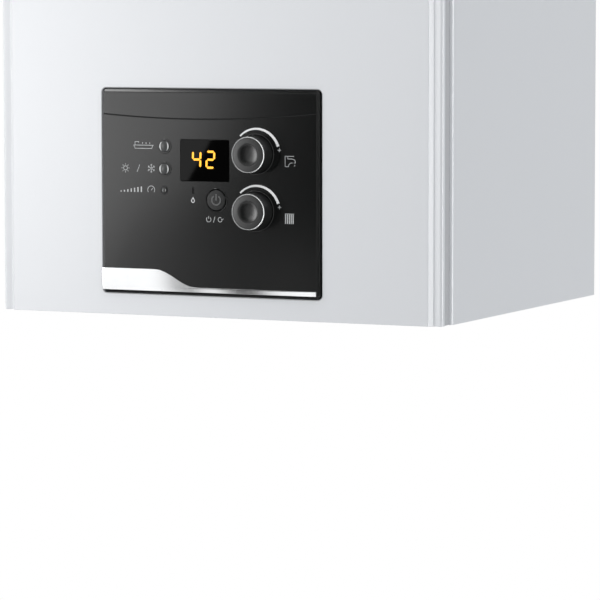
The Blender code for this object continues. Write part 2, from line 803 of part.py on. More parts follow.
def floor_plate(steel):
    back = FRAME_SEAT_Y
    plate = box("floor", (-LID_HALF, LID_HALF), (FLOOR_FRONT_Y, back), (FLOOR_HEIGHT, FLOOR_TOP))
    sides = []
    for edge in (-1, 1):
        outer = edge * LID_HALF
        inner = outer - edge * FRAME_SHEET
        low = FLOOR_HEIGHT - FLOOR_LIP
        sides.append((sorted((outer, inner)), (FLOOR_FRONT_Y, back), (low, FLOOR_TOP - EMBED)))
    low_front = (FLOOR_FRONT_Y, FLOOR_FRONT_Y + FRAME_SHEET)
    join(plate, boxes("floor_side_lips", sides))
    front_z = (FLOOR_HEIGHT - FLOOR_LIP, FLOOR_TOP - EMBED)
    join(plate, box("floor_front_lip", (-LID_HALF, LID_HALF), low_front, front_z))
    ears = []
    for inner, edge in ((HOUSING_LEFT - SEAT, -1), (HOUSING_RIGHT + SEAT, 1)):
        x = sorted((inner, inner + edge * FRAME_SHEET))
        y = (FLOOR_FRONT_Y - EAR_LENGTH, FLOOR_FRONT_Y + FLOOR_LIP)
        ears.append((x, y, (FLOOR_HEIGHT - EAR_DROP, FLOOR_TOP + EAR_RISE)))
    join(plate, boxes("ears", ears))
    pin = housing_pin()
    span = HOUSING_RIGHT - HOUSING_LEFT + 4 * OVERRUN
    start = (HOUSING_LEFT - 2 * OVERRUN, pin[0], pin[1])
    cut(plate, bore("ear_holes", "X", span, start, HOUSING_PIN_RADIUS + SEAT))
    for name, x, radius in stub_places():
        start = (x, STUB_Y, FLOOR_HEIGHT - OVERRUN)
        cut(plate, bore(name + "_hole", "UP", 3 * OVERRUN, start, radius + SEAT))
    filling_start = (FILLING_X, -FILLING_WALL_DISTANCE, FLOOR_HEIGHT - OVERRUN)
    cut(plate, bore("filling_hole", "UP", 3 * OVERRUN, filling_start, FILLING_RADIUS + SEAT))
    gland_start = (GLAND_X, GLAND_Y, FLOOR_HEIGHT - OVERRUN)
    cut(plate, bore("gland_hole", "UP", 3 * OVERRUN, gland_start, GLAND_RADIUS + SEAT))
    part(plate, "floor_plate", steel)


def cable_gland(black):
    """An empty gland for the mains cord, with its lock nut above the floor plate."""
    top = FLOOR_TOP + SEAT + GLAND_NUT_HEIGHT
    nut_top = FLOOR_HEIGHT - SEAT
    profile = [
        (GLAND_BORE, top),
        (GLAND_NUT_RADIUS, top),
        (GLAND_NUT_RADIUS, FLOOR_TOP + SEAT),
        (GLAND_RADIUS, FLOOR_TOP + SEAT),
        (GLAND_RADIUS, nut_top),
        (GLAND_NUT_RADIUS, nut_top),
        (GLAND_NUT_RADIUS, nut_top - GLAND_NUT_HEIGHT),
        (GLAND_RADIUS, nut_top - GLAND_LENGTH),
        (GLAND_BORE + SEAT, nut_top - GLAND_LENGTH - GLAND_BORE / 2),
        (GLAND_BORE, nut_top - GLAND_LENGTH - GLAND_BORE / 2),
    ]
    part(turned("gland", "UP", (GLAND_X, GLAND_Y, 0), profile, PLAIN_SIDES, ring=True), "cable_gland", black)


def connection_stubs(brass):
    for name, x, radius in stub_places():
        base = (x, STUB_Y, STUB_END_HEIGHT)
        inner = radius - STUB_WALL
        profile = [
            (0, STUB_TOP - STUB_END_HEIGHT),
            (radius, STUB_TOP - STUB_END_HEIGHT),
            (radius, 0),
            (inner, 0),
            (inner, STUB_BORE_DEPTH),
            (0, STUB_BORE_DEPTH),
        ]
        stub = turned(name, "UP", base, profile, PLAIN_SIDES)
        nut_start = (x, STUB_Y, FLOOR_HEIGHT - SEAT - STUB_NUT_HEIGHT)
        nut = rod(name + "_nut", "UP", STUB_NUT_HEIGHT, nut_start, radius + STUB_NUT_MARGIN, HEX_SIDES)
        inside = rod(name + "_nut_bore", "UP", STUB_NUT_HEIGHT + 2 * OVERRUN,
                     (x, STUB_Y, nut_start[2] - OVERRUN), radius - STUB_WALL / 2)
        cut(nut, inside)
        join(stub, nut)
        part(stub, name, brass)


def cover_outline():
    """The cover in plan, from its right rear edge round the front to its left rear edge."""
    outer = HALF_WIDTH - COVER_INSET
    groove = outer - COVER_GROOVE
    band_y = FRONT_Y + COVER_CHAMFER
    half = [(groove, COVER_BACK_Y), (groove, band_y + COVER_LIP), (outer, band_y + COVER_LIP)]
    half += arc((outer - COVER_CORNER, band_y + COVER_CORNER), COVER_CORNER, 0, -math.pi / 2)
    half += [(outer - COVER_BAND, band_y), (outer - COVER_BAND - COVER_CHAMFER, FRONT_Y)]
    return mirrored(half)


def front_cover(paint, cover_slide):
    def sculpt(work):
        low = [work.verts.new((x, y, 0)) for x, y in cover_outline()]
        high = [work.verts.new((x, y, CASING_HEIGHT)) for x, y in cover_outline()]
        for k in range(len(low) - 1):
            work.faces.new((low[k + 1], low[k], high[k], high[k + 1]))
        work.faces.new(low)
        work.faces.new(list(reversed(high)))

    cover = shape("cover", sculpt)
    thicken(cover, SHEET)
    opening = box(
        "fascia_opening",
        (FASCIA_LEFT - COVER_GAP, FASCIA_RIGHT + COVER_GAP),
        (FRONT_Y - OVERRUN, FRONT_Y + OVERRUN),
        (FASCIA_BOTTOM - COVER_GAP, FASCIA_TOP + COVER_GAP),
    )
    cut(cover, opening)
    starts = []
    for side in (-1, 1):
        for z in (STUD_MARGIN, CASING_HEIGHT - STUD_MARGIN):
            starts.append((side * (HALF_WIDTH - STUD_INSET), COVER_BACK_Y, z))
    bore_radius = STUD_RADIUS + SEAT
    length = COVER_BACK_Y - COVER_INSIDE_Y
    join(cover, rods("sockets", "FRONT", length + EMBED, starts, bore_radius + SOCKET_WALL, SMALL_SIDES))
    behind = [(x, y + OVERRUN, z) for x, y, z in starts]
    cut(cover, rods("socket_bores", "FRONT", STUD_LENGTH + OVERRUN + SHEET, behind, bore_radius, SMALL_SIDES))
    part(cover, "front_cover", paint, cover_slide)


def cover_pad(foam, cover_slide):
    back = COVER_INSIDE_Y + SEAT
    pad = box(
        "pad",
        (-HALF_WIDTH + PAD_MARGIN, HALF_WIDTH - PAD_MARGIN),
        (back, back + PAD_THICKNESS),
        (FASCIA_TOP + PAD_ABOVE_FASCIA, CASING_HEIGHT - PAD_MARGIN),
    )
    part(bevel(pad, PAD_THICKNESS / 4), "cover_insulation", foam, cover_slide)


# Controls


def housing_pin():
    """The y and z of the pins that the control housing hangs on."""
    return HOUSING_BACK_Y - HOUSING_PIN_BACK, HOUSING_BASE + HOUSING_PIN_RISE


def control_housing(black):
    x = (HOUSING_LEFT, HOUSING_RIGHT)
    z = (HOUSING_BASE, HOUSING_TOP)
    shell = bevel(box("housing", x, (HOUSING_FACE_Y, HOUSING_BACK_Y), z), HOUSING_WALL)
    wall = HOUSING_WALL
    cavity = box(
        "housing_cavity",
        (x[0] + wall, x[1] - wall),
        (HOUSING_FACE_Y + wall, HOUSING_BACK_Y - wall),
        (z[0] + wall, z[1] - wall),
    )
    mouth = box(
        "housing_mouth",
        (FASCIA_LEFT + FASCIA_RIM - FIT, FASCIA_RIGHT - FASCIA_RIM + FIT),
        (HOUSING_FACE_Y - OVERRUN, HOUSING_FACE_Y + OVERRUN),
        (FASCIA_BOTTOM + FASCIA_RIM - FIT, FASCIA_TOP - FASCIA_RIM + FIT),
    )
    cut(shell, cavity, mouth)
    pin_y, pin_z = housing_pin()
    reach = FRAME_SHEET + 2 * SEAT + wall
    start = (HOUSING_LEFT - reach + EMBED, pin_y, pin_z)
    left = rod("left_pin", "X", reach + EMBED, start, HOUSING_PIN_RADIUS)
    right = rod("right_pin", "X", reach, (HOUSING_RIGHT - EMBED, pin_y, pin_z), HOUSING_PIN_RADIUS)
    join(shell, left, right)
    part(shell, "control_housing", black)


def knob_places():
    return (
        ("dhw_knob", FASCIA_BOTTOM + UPPER_KNOB_HEIGHT),
        ("heating_knob", FASCIA_BOTTOM + LOWER_KNOB_HEIGHT),
    )


def button_places():
    """Each push button's name, place and the radius of its cap."""
    return (
        ("upper_button", BUTTON_X, FASCIA_BOTTOM + UPPER_BUTTON_HEIGHT, BUTTON_RADIUS),
        ("lower_button", BUTTON_X, FASCIA_BOTTOM + LOWER_BUTTON_HEIGHT, BUTTON_RADIUS),
        ("power_button", POWER_X, FASCIA_BOTTOM + POWER_HEIGHT, POWER_RADIUS),
    )


def post_places():
    inset = 2 * FASCIA_RIM + POST_RADIUS
    xs = (FASCIA_LEFT + inset, FASCIA_RIGHT - inset)
    zs = (FASCIA_BOTTOM + inset, FASCIA_TOP - inset)
    return [(x, z) for x in xs for z in zs]


def parting_line():
    """The shallow curve that divides the fascia near its top, as points in front view."""
    width = FASCIA_RIGHT - FASCIA_LEFT
    points = []
    for across, up in PARTING_SHARES:
        points.append((FASCIA_LEFT + across * width, FASCIA_BOTTOM + up * FASCIA_HEIGHT))
    return points


def fascia(gloss):
    x = (FASCIA_LEFT, FASCIA_RIGHT)
    z = (FASCIA_BOTTOM, FASCIA_TOP)
    rim = FASCIA_RIM
    face = bevel(box("fascia", x, (FASCIA_FACE_Y, FASCIA_BACK_Y), z), FASCIA_BEVEL, segments=1)
    pocket_x = (x[0] + rim + SKIRT_WALL, x[1] - rim - SKIRT_WALL)
    pocket_z = (z[0] + rim + SKIRT_WALL, z[1] - rim - SKIRT_WALL)
    skirt = box("skirt", (x[0] + rim, x[1] - rim), (FASCIA_BACK_Y - EMBED, FASCIA_BACK_Y + FASCIA_SKIRT),
                (z[0] + rim, z[1] - rim))
    pocket = box("pocket", pocket_x, (FASCIA_INSIDE_Y, FASCIA_BACK_Y + FASCIA_SKIRT + OVERRUN), pocket_z)
    join(face, skirt)
    cut(face, pocket)
    starts = [(px, FASCIA_INSIDE_Y - EMBED, pz) for px, pz in post_places()]
    join(face, rods("posts", "BACK", BOARD_DISTANCE - SEAT + EMBED, starts, POST_RADIUS, SMALL_SIDES))
    starts = [(KNOB_X, FASCIA_FACE_Y - OVERRUN, height) for _, height in knob_places()]
    recess_depth = OVERRUN + KNOB_RECESS_DEPTH
    cut(face, rods("knob_recesses", "BACK", recess_depth, starts, KNOB_RECESS_RADIUS, FINE_SIDES))
    through = OVERRUN + FASCIA_WALL + OVERRUN / 2
    cut(face, bores("stem_holes", "BACK", through, starts, KNOB_STEM_RADIUS + FIT, SMALL_SIDES))
    for name, bx, bz, radius in button_places():
        ring = POWER_RING_WIDTH if name == "power_button" else BUTTON_RING_WIDTH
        start = (bx, FASCIA_FACE_Y + EMBED, bz)
        rise = EMBED + BUTTON_RING_RISE
        join(face, rod(name + "_ring", "FRONT", rise, start, radius + FIT + ring, ROUND_SIDES))
        start = (bx, FASCIA_FACE_Y - OVERRUN, bz)
        cut(face, bore(name + "_hole", "BACK", through, start, radius + FIT, ROUND_SIDES))
    lamp = (PRESSURE_LAMP_X, FASCIA_FACE_Y - OVERRUN, FASCIA_BOTTOM + PRESSURE_LAMP_HEIGHT)
    cut(face, bore("lamp_hole", "BACK", through, lamp, PRESSURE_LAMP_RADIUS + SEAT))
    half_wide = BURNER_LAMP_WIDTH / 2 + SEAT
    half_tall = BURNER_LAMP_TALL / 2 + SEAT
    slit_z = FASCIA_BOTTOM + BURNER_LAMP_HEIGHT
    all_through = (FASCIA_FACE_Y - OVERRUN, FASCIA_INSIDE_Y + OVERRUN / 2)
    slit = box("lamp_slit", (BURNER_LAMP_X - half_wide, BURNER_LAMP_X + half_wide), all_through,
               (slit_z - half_tall, slit_z + half_tall))
    window = front_outline(
        "window_recess",
        rounded_box_outline(WINDOW_LEFT - SEAT, WINDOW_RIGHT + SEAT, FASCIA_BOTTOM + WINDOW_BASE - SEAT,
                            FASCIA_BOTTOM + WINDOW_TOP + SEAT, WINDOW_CORNER),
        FASCIA_FACE_Y - OVERRUN,
        OVERRUN + WINDOW_THICKNESS + SEAT,
    )
    view = box(
        "window_hole",
        (WINDOW_LEFT + WINDOW_LEDGE, WINDOW_RIGHT - WINDOW_LEDGE),
        all_through,
        (FASCIA_BOTTOM + WINDOW_BASE + WINDOW_LEDGE, FASCIA_BOTTOM + WINDOW_TOP - WINDOW_LEDGE),
    )
    cut(face, slit, window, view)
    points = [(px, FASCIA_FACE_Y, pz) for px, pz in parting_line()]
    cut(face, tube("parting_groove", points, PARTING_RADIUS))
    part(face, "fascia", gloss)


def fascia_trim(bright):
    """The bright strip along the fascia's foot, stepping down from left to right in an S."""
    base = FASCIA_BOTTOM + TRIM_BASE
    tall = FASCIA_BOTTOM + TRIM_TALL
    low = FASCIA_BOTTOM + TRIM_LOW
    points = [(TRIM_LEFT, base), (TRIM_LEFT, tall)]
    span = TRIM_CURVE_RIGHT - TRIM_CURVE_LEFT
    for step in range(TRIM_STEPS + 1):
        share = step / TRIM_STEPS
        ease = (1 - math.cos(math.pi * share)) / 2
        points.append((TRIM_CURVE_LEFT + share * span, tall + ease * (low - tall)))
    points += [(TRIM_RIGHT, low), (TRIM_RIGHT, base)]
    face_y = FASCIA_FACE_Y - SEAT - TRIM_THICKNESS
    part(front_outline("trim", points, face_y, TRIM_THICKNESS), "fascia_trim", bright)


def display_window(glass):
    points = rounded_box_outline(WINDOW_LEFT, WINDOW_RIGHT, FASCIA_BOTTOM + WINDOW_BASE,
                                 FASCIA_BOTTOM + WINDOW_TOP, WINDOW_CORNER)
    part(front_outline("window", points, FASCIA_FACE_Y, WINDOW_THICKNESS), "display_window", glass)


def control_board(green):
    """The circuit board with its potentiometers, key switches and display block."""
    inset = FASCIA_RIM + SKIRT_WALL + FIT
    board = box(
        "board",
        (FASCIA_LEFT + inset, FASCIA_RIGHT - inset),
        (BOARD_Y, BOARD_Y + BOARD_THICKNESS),
        (FASCIA_BOTTOM + inset, FASCIA_TOP - inset),
    )
    raised = []
    half = POT_SIZE / 2
    pot_y = (BOARD_Y - POT_HEIGHT, BOARD_Y + EMBED)
    for _, z in knob_places():
        raised.append(((KNOB_X - half, KNOB_X + half), pot_y, (z - half, z + half)))
    half = SWITCH_SIZE / 2
    for _, x, z, _ in button_places():
        raised.append(((x - half, x + half), (SWITCH_TOP_Y, BOARD_Y + EMBED), (z - half, z + half)))
    display_x = (WINDOW_LEFT + WINDOW_LEDGE + FIT, WINDOW_RIGHT - WINDOW_LEDGE - FIT)
    display_y = (FASCIA_FACE_Y + WINDOW_THICKNESS + FIT, BOARD_Y + EMBED)
    low = FASCIA_BOTTOM + WINDOW_BASE + WINDOW_LEDGE + FIT
    high = FASCIA_BOTTOM + WINDOW_TOP - WINDOW_LEDGE - FIT
    raised.append((display_x, display_y, (low, high)))
    join(board, boxes("board_parts", raised))
    bush_back = BOARD_Y - POT_HEIGHT + EMBED
    starts = [(KNOB_X, bush_back, z) for _, z in knob_places()]
    join(board, rods("bushes", "FRONT", POT_HEIGHT / 2 + EMBED, starts, POT_BUSH_RADIUS, SMALL_SIDES))
    mouths = [(KNOB_X, bush_back - POT_HEIGHT, z) for _, z in knob_places()]
    depth = 2 * POT_HEIGHT + OVERRUN
    cut(board, bores("bush_bores", "BACK", depth, mouths, KNOB_STEM_RADIUS + FIT, SMALL_SIDES))
    part(board, "control_board", green)


def knob(name, height, black, bright):
    """A turned knob with its stem; the bright ring round its front edge is a piece of its own."""
    turn = pivot(name + "_axis", (KNOB_X, KNOB_BACK_Y, height))
    tall = KNOB_PROTRUSION - KNOB_RECESS_DEPTH + SEAT
    step = tall - KNOB_RIM_HEIGHT
    inner = KNOB_RADIUS - KNOB_RIM_WIDTH
    dish = []
    for share in DISH_SHARES:
        dish.append((KNOB_DISH_RADIUS * share, tall - KNOB_DISH_DEPTH * (1 - share**2)))
    profile = dish + [
        (inner, tall),
        (inner, step),
        (KNOB_RADIUS, step),
        (KNOB_FOOT_RADIUS, 0),
        (KNOB_STEM_RADIUS, 0),
        (KNOB_STEM_RADIUS, -KNOB_STEM_LENGTH),
        (0, -KNOB_STEM_LENGTH),
    ]
    start = (KNOB_X, KNOB_BACK_Y, height)
    part(turned(name, "FRONT", start, profile, FINE_SIDES), name, black, turn)
    rim = [
        (inner + SEAT, tall),
        (KNOB_RADIUS - KNOB_RIM_WIDTH / 4, tall),
        (KNOB_RADIUS, tall - KNOB_RIM_HEIGHT / 3),
        (KNOB_RADIUS, step + SEAT),
        (inner + SEAT, step + SEAT),
    ]
    ring = turned(name + "_rim", "FRONT", start, rim, FINE_SIDES, ring=True)
    part(ring, name + "_rim", bright, turn)


def push_button(name, x, z, radius, finish):
    """A button cap with its retaining flange behind the fascia and the stem that meets its switch."""
    slide = pivot(name + "_axis", (x, FASCIA_INSIDE_Y, z))
    rise = POWER_RISE if name == "power_button" else BUTTON_RISE
    front = FASCIA_WALL + rise
    flange = -SEAT
    stem_end = FASCIA_INSIDE_Y - SWITCH_TOP_Y + BUTTON_TRAVEL + SEAT
    dome = []
    for share in DOME_SHARES:
        fall = 1 - math.sqrt(1 - (share * DOME_REACH_SHARE) ** 2)
        dome.append((radius * share, front - rise * fall))
    profile = dome + [
        (radius, flange),
        (radius + BUTTON_FLANGE, flange),
        (radius + BUTTON_FLANGE, flange - BUTTON_FLANGE_HEIGHT),
        (BUTTON_STEM_RADIUS, flange - BUTTON_FLANGE_HEIGHT),
        (BUTTON_STEM_RADIUS, stem_end),
        (0, stem_end),
    ]
    part(turned(name, "FRONT", (x, FASCIA_INSIDE_Y, z), profile, PLAIN_SIDES), name, finish, slide)


def lamps(clear):
    place = (PRESSURE_LAMP_X, FASCIA_FACE_Y, FASCIA_BOTTOM + PRESSURE_LAMP_HEIGHT)
    radius = PRESSURE_LAMP_RADIUS
    profile = [
        (0, LAMP_RISE),
        (radius / 2, LAMP_RISE * LAMP_SHOULDER_SHARE),
        (radius, 0),
        (radius, -LAMP_DEPTH),
        (0, -LAMP_DEPTH),
    ]
    part(turned("pressure_lamp", "FRONT", place, profile, PLAIN_SIDES), "pressure_lamp", clear)
    half = BURNER_LAMP_WIDTH / 2
    tall = BURNER_LAMP_TALL / 2
    middle = FASCIA_BOTTOM + BURNER_LAMP_HEIGHT
    slit = box("burner_lamp", (BURNER_LAMP_X - half, BURNER_LAMP_X + half),
               (FASCIA_FACE_Y - LAMP_RISE / 2, FASCIA_FACE_Y + LAMP_DEPTH), (middle - tall, middle + tall))
    part(slit, "burner_lamp", clear)


# Burner, combustion chamber and flue


def burner_cradle(steel):
    """A U of flat bar in plan: its back rests on the frame's ribs, its arms carry the burner tray."""
    outer = STACK_HALF_WIDTH
    inner = outer - CRADLE_BAR
    half = [
        (RIB_OUTER, FRAME_SEAT_Y),
        (RIB_OUTER, FRAME_SEAT_Y - CRADLE_BAR),
        (outer, FRAME_SEAT_Y - CRADLE_BAR),
        (outer, STACK_FRONT_Y),
        (inner, STACK_FRONT_Y),
        (inner, FRAME_SEAT_Y - CRADLE_BAR),
    ]
    cradle = outline("cradle", PLAN, mirrored(half), CRADLE_BASE, CRADLE_HEIGHT)
    part(cradle, "burner_cradle", steel)


def walls(name, x_half, y, z, thickness):
    """Four upright walls, open above and below."""
    shell = box(name, (-x_half, x_half), y, z)
    inside = box(
        name + "_inside",
        (-x_half + thickness, x_half - thickness),
        (y[0] + thickness, y[1] - thickness),
        (z[0] - OVERRUN, z[1] + OVERRUN),
    )
    return cut(shell, inside)


def burner_tray(steel):
    y = (STACK_FRONT_Y, STACK_BACK_Y)
    tray = walls("tray", STACK_HALF_WIDTH, y, (TRAY_BASE, TRAY_TOP), TRAY_SHEET)
    inner = STACK_HALF_WIDTH - TRAY_LEDGE
    ledges = []
    for edge in (-1, 1):
        x = sorted((edge * inner, edge * (STACK_HALF_WIDTH - EMBED)))
        ledges.append((x, (y[0] + EMBED, y[1] - EMBED), (TRAY_BASE, TRAY_BASE + TRAY_SHEET)))
    join(tray, boxes("tray_ledges", ledges))
    low = TRAY_BASE + TRAY_WINDOW_BASE
    window_y = (y[0] - OVERRUN, y[0] + OVERRUN)
    window = box("tray_window", (-inner, inner), window_y, (low, low + TRAY_WINDOW_HEIGHT))
    part(cut(tray, window), "burner_tray", steel)


def burner_blades(steel):
    """Upright blades on two cross bars, each with flame slots along its top."""
    half = STACK_HALF_WIDTH - TRAY_SHEET - FIT
    y = (STACK_FRONT_Y + TRAY_SHEET + BLADE_MARGIN, STACK_BACK_Y - TRAY_SHEET - BLADE_MARGIN)
    bar_low = TRAY_BASE + TRAY_SHEET + SEAT
    blade_low = bar_low + BLADE_BAR_HEIGHT / 2
    blade_top = blade_low + BLADE_HEIGHT
    blades = []
    for x in blade_places():
        blades.append(((x - BLADE_WIDTH / 2, x + BLADE_WIDTH / 2), y, (blade_low, blade_top)))
    bars = []
    for end in (y[0] + BLADE_BAR_DEPTH, y[1] - 2 * BLADE_BAR_DEPTH):
        bars.append(((-half, half), (end, end + BLADE_BAR_DEPTH), (bar_low, bar_low + BLADE_BAR_HEIGHT)))
    rack = join(boxes("bars", bars), boxes("blades", blades))
    slots = []
    slot_pitch = (y[1] - y[0]) / (BLADE_SLOT_COUNT + 1)
    for k in range(BLADE_SLOT_COUNT):
        middle = y[0] + (k + 1) * slot_pitch
        span = (middle - BLADE_SLOT_WIDTH / 2, middle + BLADE_SLOT_WIDTH / 2)
        slots.append(((-half, half), span, (blade_top - BLADE_SLOT_DEPTH, blade_top + OVERRUN)))
    part(cut(rack, boxes("flame_slots", slots)), "burner_blades", steel)


def blade_places():
    """The x of each blade, which is also its injector's."""
    reach = STACK_HALF_WIDTH - TRAY_SHEET - FIT - BLADE_MARGIN - BLADE_WIDTH / 2
    return [-reach + 2 * reach * k / (BLADE_COUNT - 1) for k in range(BLADE_COUNT)]


def manifold_span():
    """The manifold's depth and height bounds, centred on the tray's window."""
    back = STACK_FRONT_Y - SEAT
    middle = TRAY_BASE + TRAY_WINDOW_BASE + TRAY_WINDOW_HEIGHT / 2
    return (back - MANIFOLD_DEPTH, back), (middle - MANIFOLD_HEIGHT / 2, middle + MANIFOLD_HEIGHT / 2)


def gas_manifold(aluminium):
    y, z = manifold_span()
    bar = bevel(box("manifold", (-STACK_HALF_WIDTH, STACK_HALF_WIDTH), y, z), TRAY_SHEET)
    starts = [(x, y[1] - EMBED, (z[0] + z[1]) / 2) for x in blade_places()]
    nozzles = rods("injectors", "BACK", INJECTOR_LENGTH, starts, INJECTOR_RADIUS, HEX_SIDES,
                   INJECTOR_TIP_RADIUS)
    part(join(bar, nozzles), "gas_manifold", aluminium)


def combustion_chamber(steel):
    y = (STACK_FRONT_Y, STACK_BACK_Y)
    shell = walls("chamber", STACK_HALF_WIDTH, y, (CHAMBER_BASE, CHAMBER_TOP), CHAMBER_SHEET)
    electrode = electrode_places()
    reach = CHAMBER_SHEET + LINING_THICKNESS + 2 * OVERRUN
    starts = [(x, STACK_FRONT_Y - OVERRUN, z) for x, z in electrode]
    cut(shell, bores("electrode_holes", "BACK", reach, starts, ELECTRODE_RADIUS + SEAT, SMALL_SIDES))
    part(shell, "combustion_chamber", steel)


def chamber_lining(fibre):
    inset = CHAMBER_SHEET + SEAT
    y = (STACK_FRONT_Y + inset, STACK_BACK_Y - inset)
    z = (CHAMBER_BASE + SEAT, CHAMBER_TOP - SEAT)
    lining = walls("lining", STACK_HALF_WIDTH - inset, y, z, LINING_THICKNESS)
    starts = [(x, STACK_FRONT_Y - OVERRUN, height) for x, height in electrode_places()]
    reach = CHAMBER_SHEET + LINING_THICKNESS + 2 * OVERRUN
    cut(lining, bores("lining_holes", "BACK", reach, starts, ELECTRODE_RADIUS + SEAT, SMALL_SIDES))
    part(lining, "chamber_lining", fibre)


def electrode_places():
    """The x and z of the ignition and sensing electrodes, low on the chamber's front."""
    z = CHAMBER_BASE + ELECTRODE_SPACING
    return [(x, z) for x in (-ELECTRODE_SPACING, 0, ELECTRODE_SPACING)]


def ignition_electrodes(ceramic):
    """Three ceramic rods on one foot plate, reaching through the chamber's front."""
    z = CHAMBER_BASE + ELECTRODE_SPACING
    front = STACK_FRONT_Y - SEAT
    margin = 3 * ELECTRODE_RADIUS
    half = ELECTRODE_SPACING + margin
    foot = box("foot", (-half, half), (front - CHAMBER_SHEET, front), (z - margin, z + margin))
    length = LINING_THICKNESS + 10 * ELECTRODE_RADIUS
    starts = [(x, front - 4 * ELECTRODE_RADIUS, height) for x, height in electrode_places()]
    ceramics = rods("ceramics", "BACK", length, starts, ELECTRODE_RADIUS, SMALL_SIDES)
    part(join(foot, ceramics), "ignition_electrodes", ceramic)


def heat_exchanger(copper):
    """Upright fins between two end walls, on a bank of tubes with return bends at the sides."""
    low, high = EXCHANGER_BASE, EXCHANGER_TOP
    y = (STACK_FRONT_Y, STACK_BACK_Y)
    inner = STACK_HALF_WIDTH - EXCHANGER_WALL - FIN_MARGIN
    pitch = (2 * inner - FIN_THICKNESS) / (FIN_COUNT - 1)
    fin_y = (y[0] + FIN_MARGIN, y[1] - FIN_MARGIN)
    fins = []
    for k in range(FIN_COUNT):
        right = inner - k * pitch
        fins.append(((right - FIN_THICKNESS, right), fin_y, (low + FIN_END_MARGIN, high - FIN_END_MARGIN)))
    ends = []
    for edge in (-1, 1):
        x = sorted((edge * STACK_HALF_WIDTH, edge * (STACK_HALF_WIDTH - EXCHANGER_WALL)))
        ends.append((x, y, (low, high)))
    reach = STACK_HALF_WIDTH - EXCHANGER_WALL / 2
    tubes = tube_places()
    bank_z = (TUBE_HEIGHT - TUBE_RADIUS, TUBE_HEIGHT + TUBE_RADIUS)
    bank = box("bank", (-reach, reach), (tubes[0] - TUBE_RADIUS, tubes[-1] + TUBE_RADIUS), bank_z)
    join(bank, boxes("end_walls", ends), boxes("fins", fins))
    for edge in (-1, 1):
        for k in return_bends(edge):
            join(bank, return_bend(edge, tubes[k], tubes[k + 1]))
    for edge, tube_y in ((1, tubes[0]), (-1, tubes[-1])):
        x = sorted((edge * (STACK_HALF_WIDTH - EMBED), edge * (STACK_HALF_WIDTH + TUBE_REACH)))
        join(bank, rod("tube_end", "X", x[1] - x[0], (x[0], tube_y, TUBE_HEIGHT), TUBE_RADIUS))
    part(bank, "heat_exchanger", copper)


def tube_places():
    """The y of each exchanger tube, from the front one back."""
    reach = TUBE_PITCH * (TUBE_COUNT - 1) / 2
    return [STACK_MID_Y - reach + k * TUBE_PITCH for k in range(TUBE_COUNT)]


def return_bends(edge):
    """Which tubes a side's bends start from; the bends alternate from side to side."""
    first = 0 if edge < 0 else 1
    return range(first, TUBE_COUNT - 1, 2)


def return_bend(edge, near, far):
    middle = (near + far) / 2
    radius = (far - near) / 2
    face = edge * (STACK_HALF_WIDTH - EMBED)
    points = []
    for k in range(RETURN_BEND_STEPS + 1):
        angle = math.pi * k / RETURN_BEND_STEPS
        x = face + edge * radius * math.sin(angle)
        points.append((x, middle - radius * math.cos(angle), TUBE_HEIGHT))
    return tube("return_bend", points, TUBE_RADIUS - STUB_WALL / 2)


def flue_hood(steel):
    """A hood narrowing from the exchanger to the fan's eye, open below."""

    def sculpt(work):
        low = [
            (STACK_HALF_WIDTH, STACK_FRONT_Y),
            (STACK_HALF_WIDTH, STACK_BACK_Y),
            (-STACK_HALF_WIDTH, STACK_BACK_Y),
            (-STACK_HALF_WIDTH, STACK_FRONT_Y),
        ]
        half = HOOD_TOP_HALF
        high = [(FAN_X + half, FAN_Y - half), (FAN_X + half, FAN_Y + half), (FAN_X - half, FAN_Y + half),
                (FAN_X - half, FAN_Y - half)]
        knee = HOOD_BASE + 2 * HOOD_HEIGHT / 5
        rings = []
        for points, z in ((low, HOOD_BASE), (low, knee), (high, HOOD_TOP)):
            rings.append([work.verts.new((x, y, z)) for x, y in points])
        for lower, upper in zip(rings, rings[1:]):
            for k in range(4):
                following = (k + 1) % 4
                work.faces.new((lower[k], lower[following], upper[following], upper[k]))
        work.faces.new(rings[-1])

    hood = shape("hood", sculpt)
    thicken(hood, HOOD_SHEET)
    eye = rod("hood_eye", "UP", 2 * OVERRUN, (FAN_X, FAN_Y, HOOD_TOP - OVERRUN), EYE_RADIUS, ROUND_SIDES)
    part(cut(hood, eye), "flue_hood", steel)


def scroll_outline(shrink):
    """The fan scroll in plan: a spiral that opens into a straight duct to the right, at the back."""
    points = []
    for k in range(SCROLL_STEPS + 1):
        share = k / SCROLL_STEPS
        angle = 2 * math.pi * (SCROLL_START_TURN - share * SCROLL_TURN)
        radius = SCROLL_START_RADIUS + share * (SCROLL_END_RADIUS - SCROLL_START_RADIUS) - shrink
        points.append((FAN_X + radius * math.cos(angle), FAN_Y + radius * math.sin(angle)))
    duct_back = FAN_Y + SCROLL_END_RADIUS - shrink
    duct_end = SCROLL_DUCT_END - shrink
    throat = FAN_Y + (SCROLL_END_RADIUS - 2 * FLUE_RADIUS) - SCROLL_SHEET + shrink
    points += [(duct_end, duct_back), (duct_end, throat)]
    return points


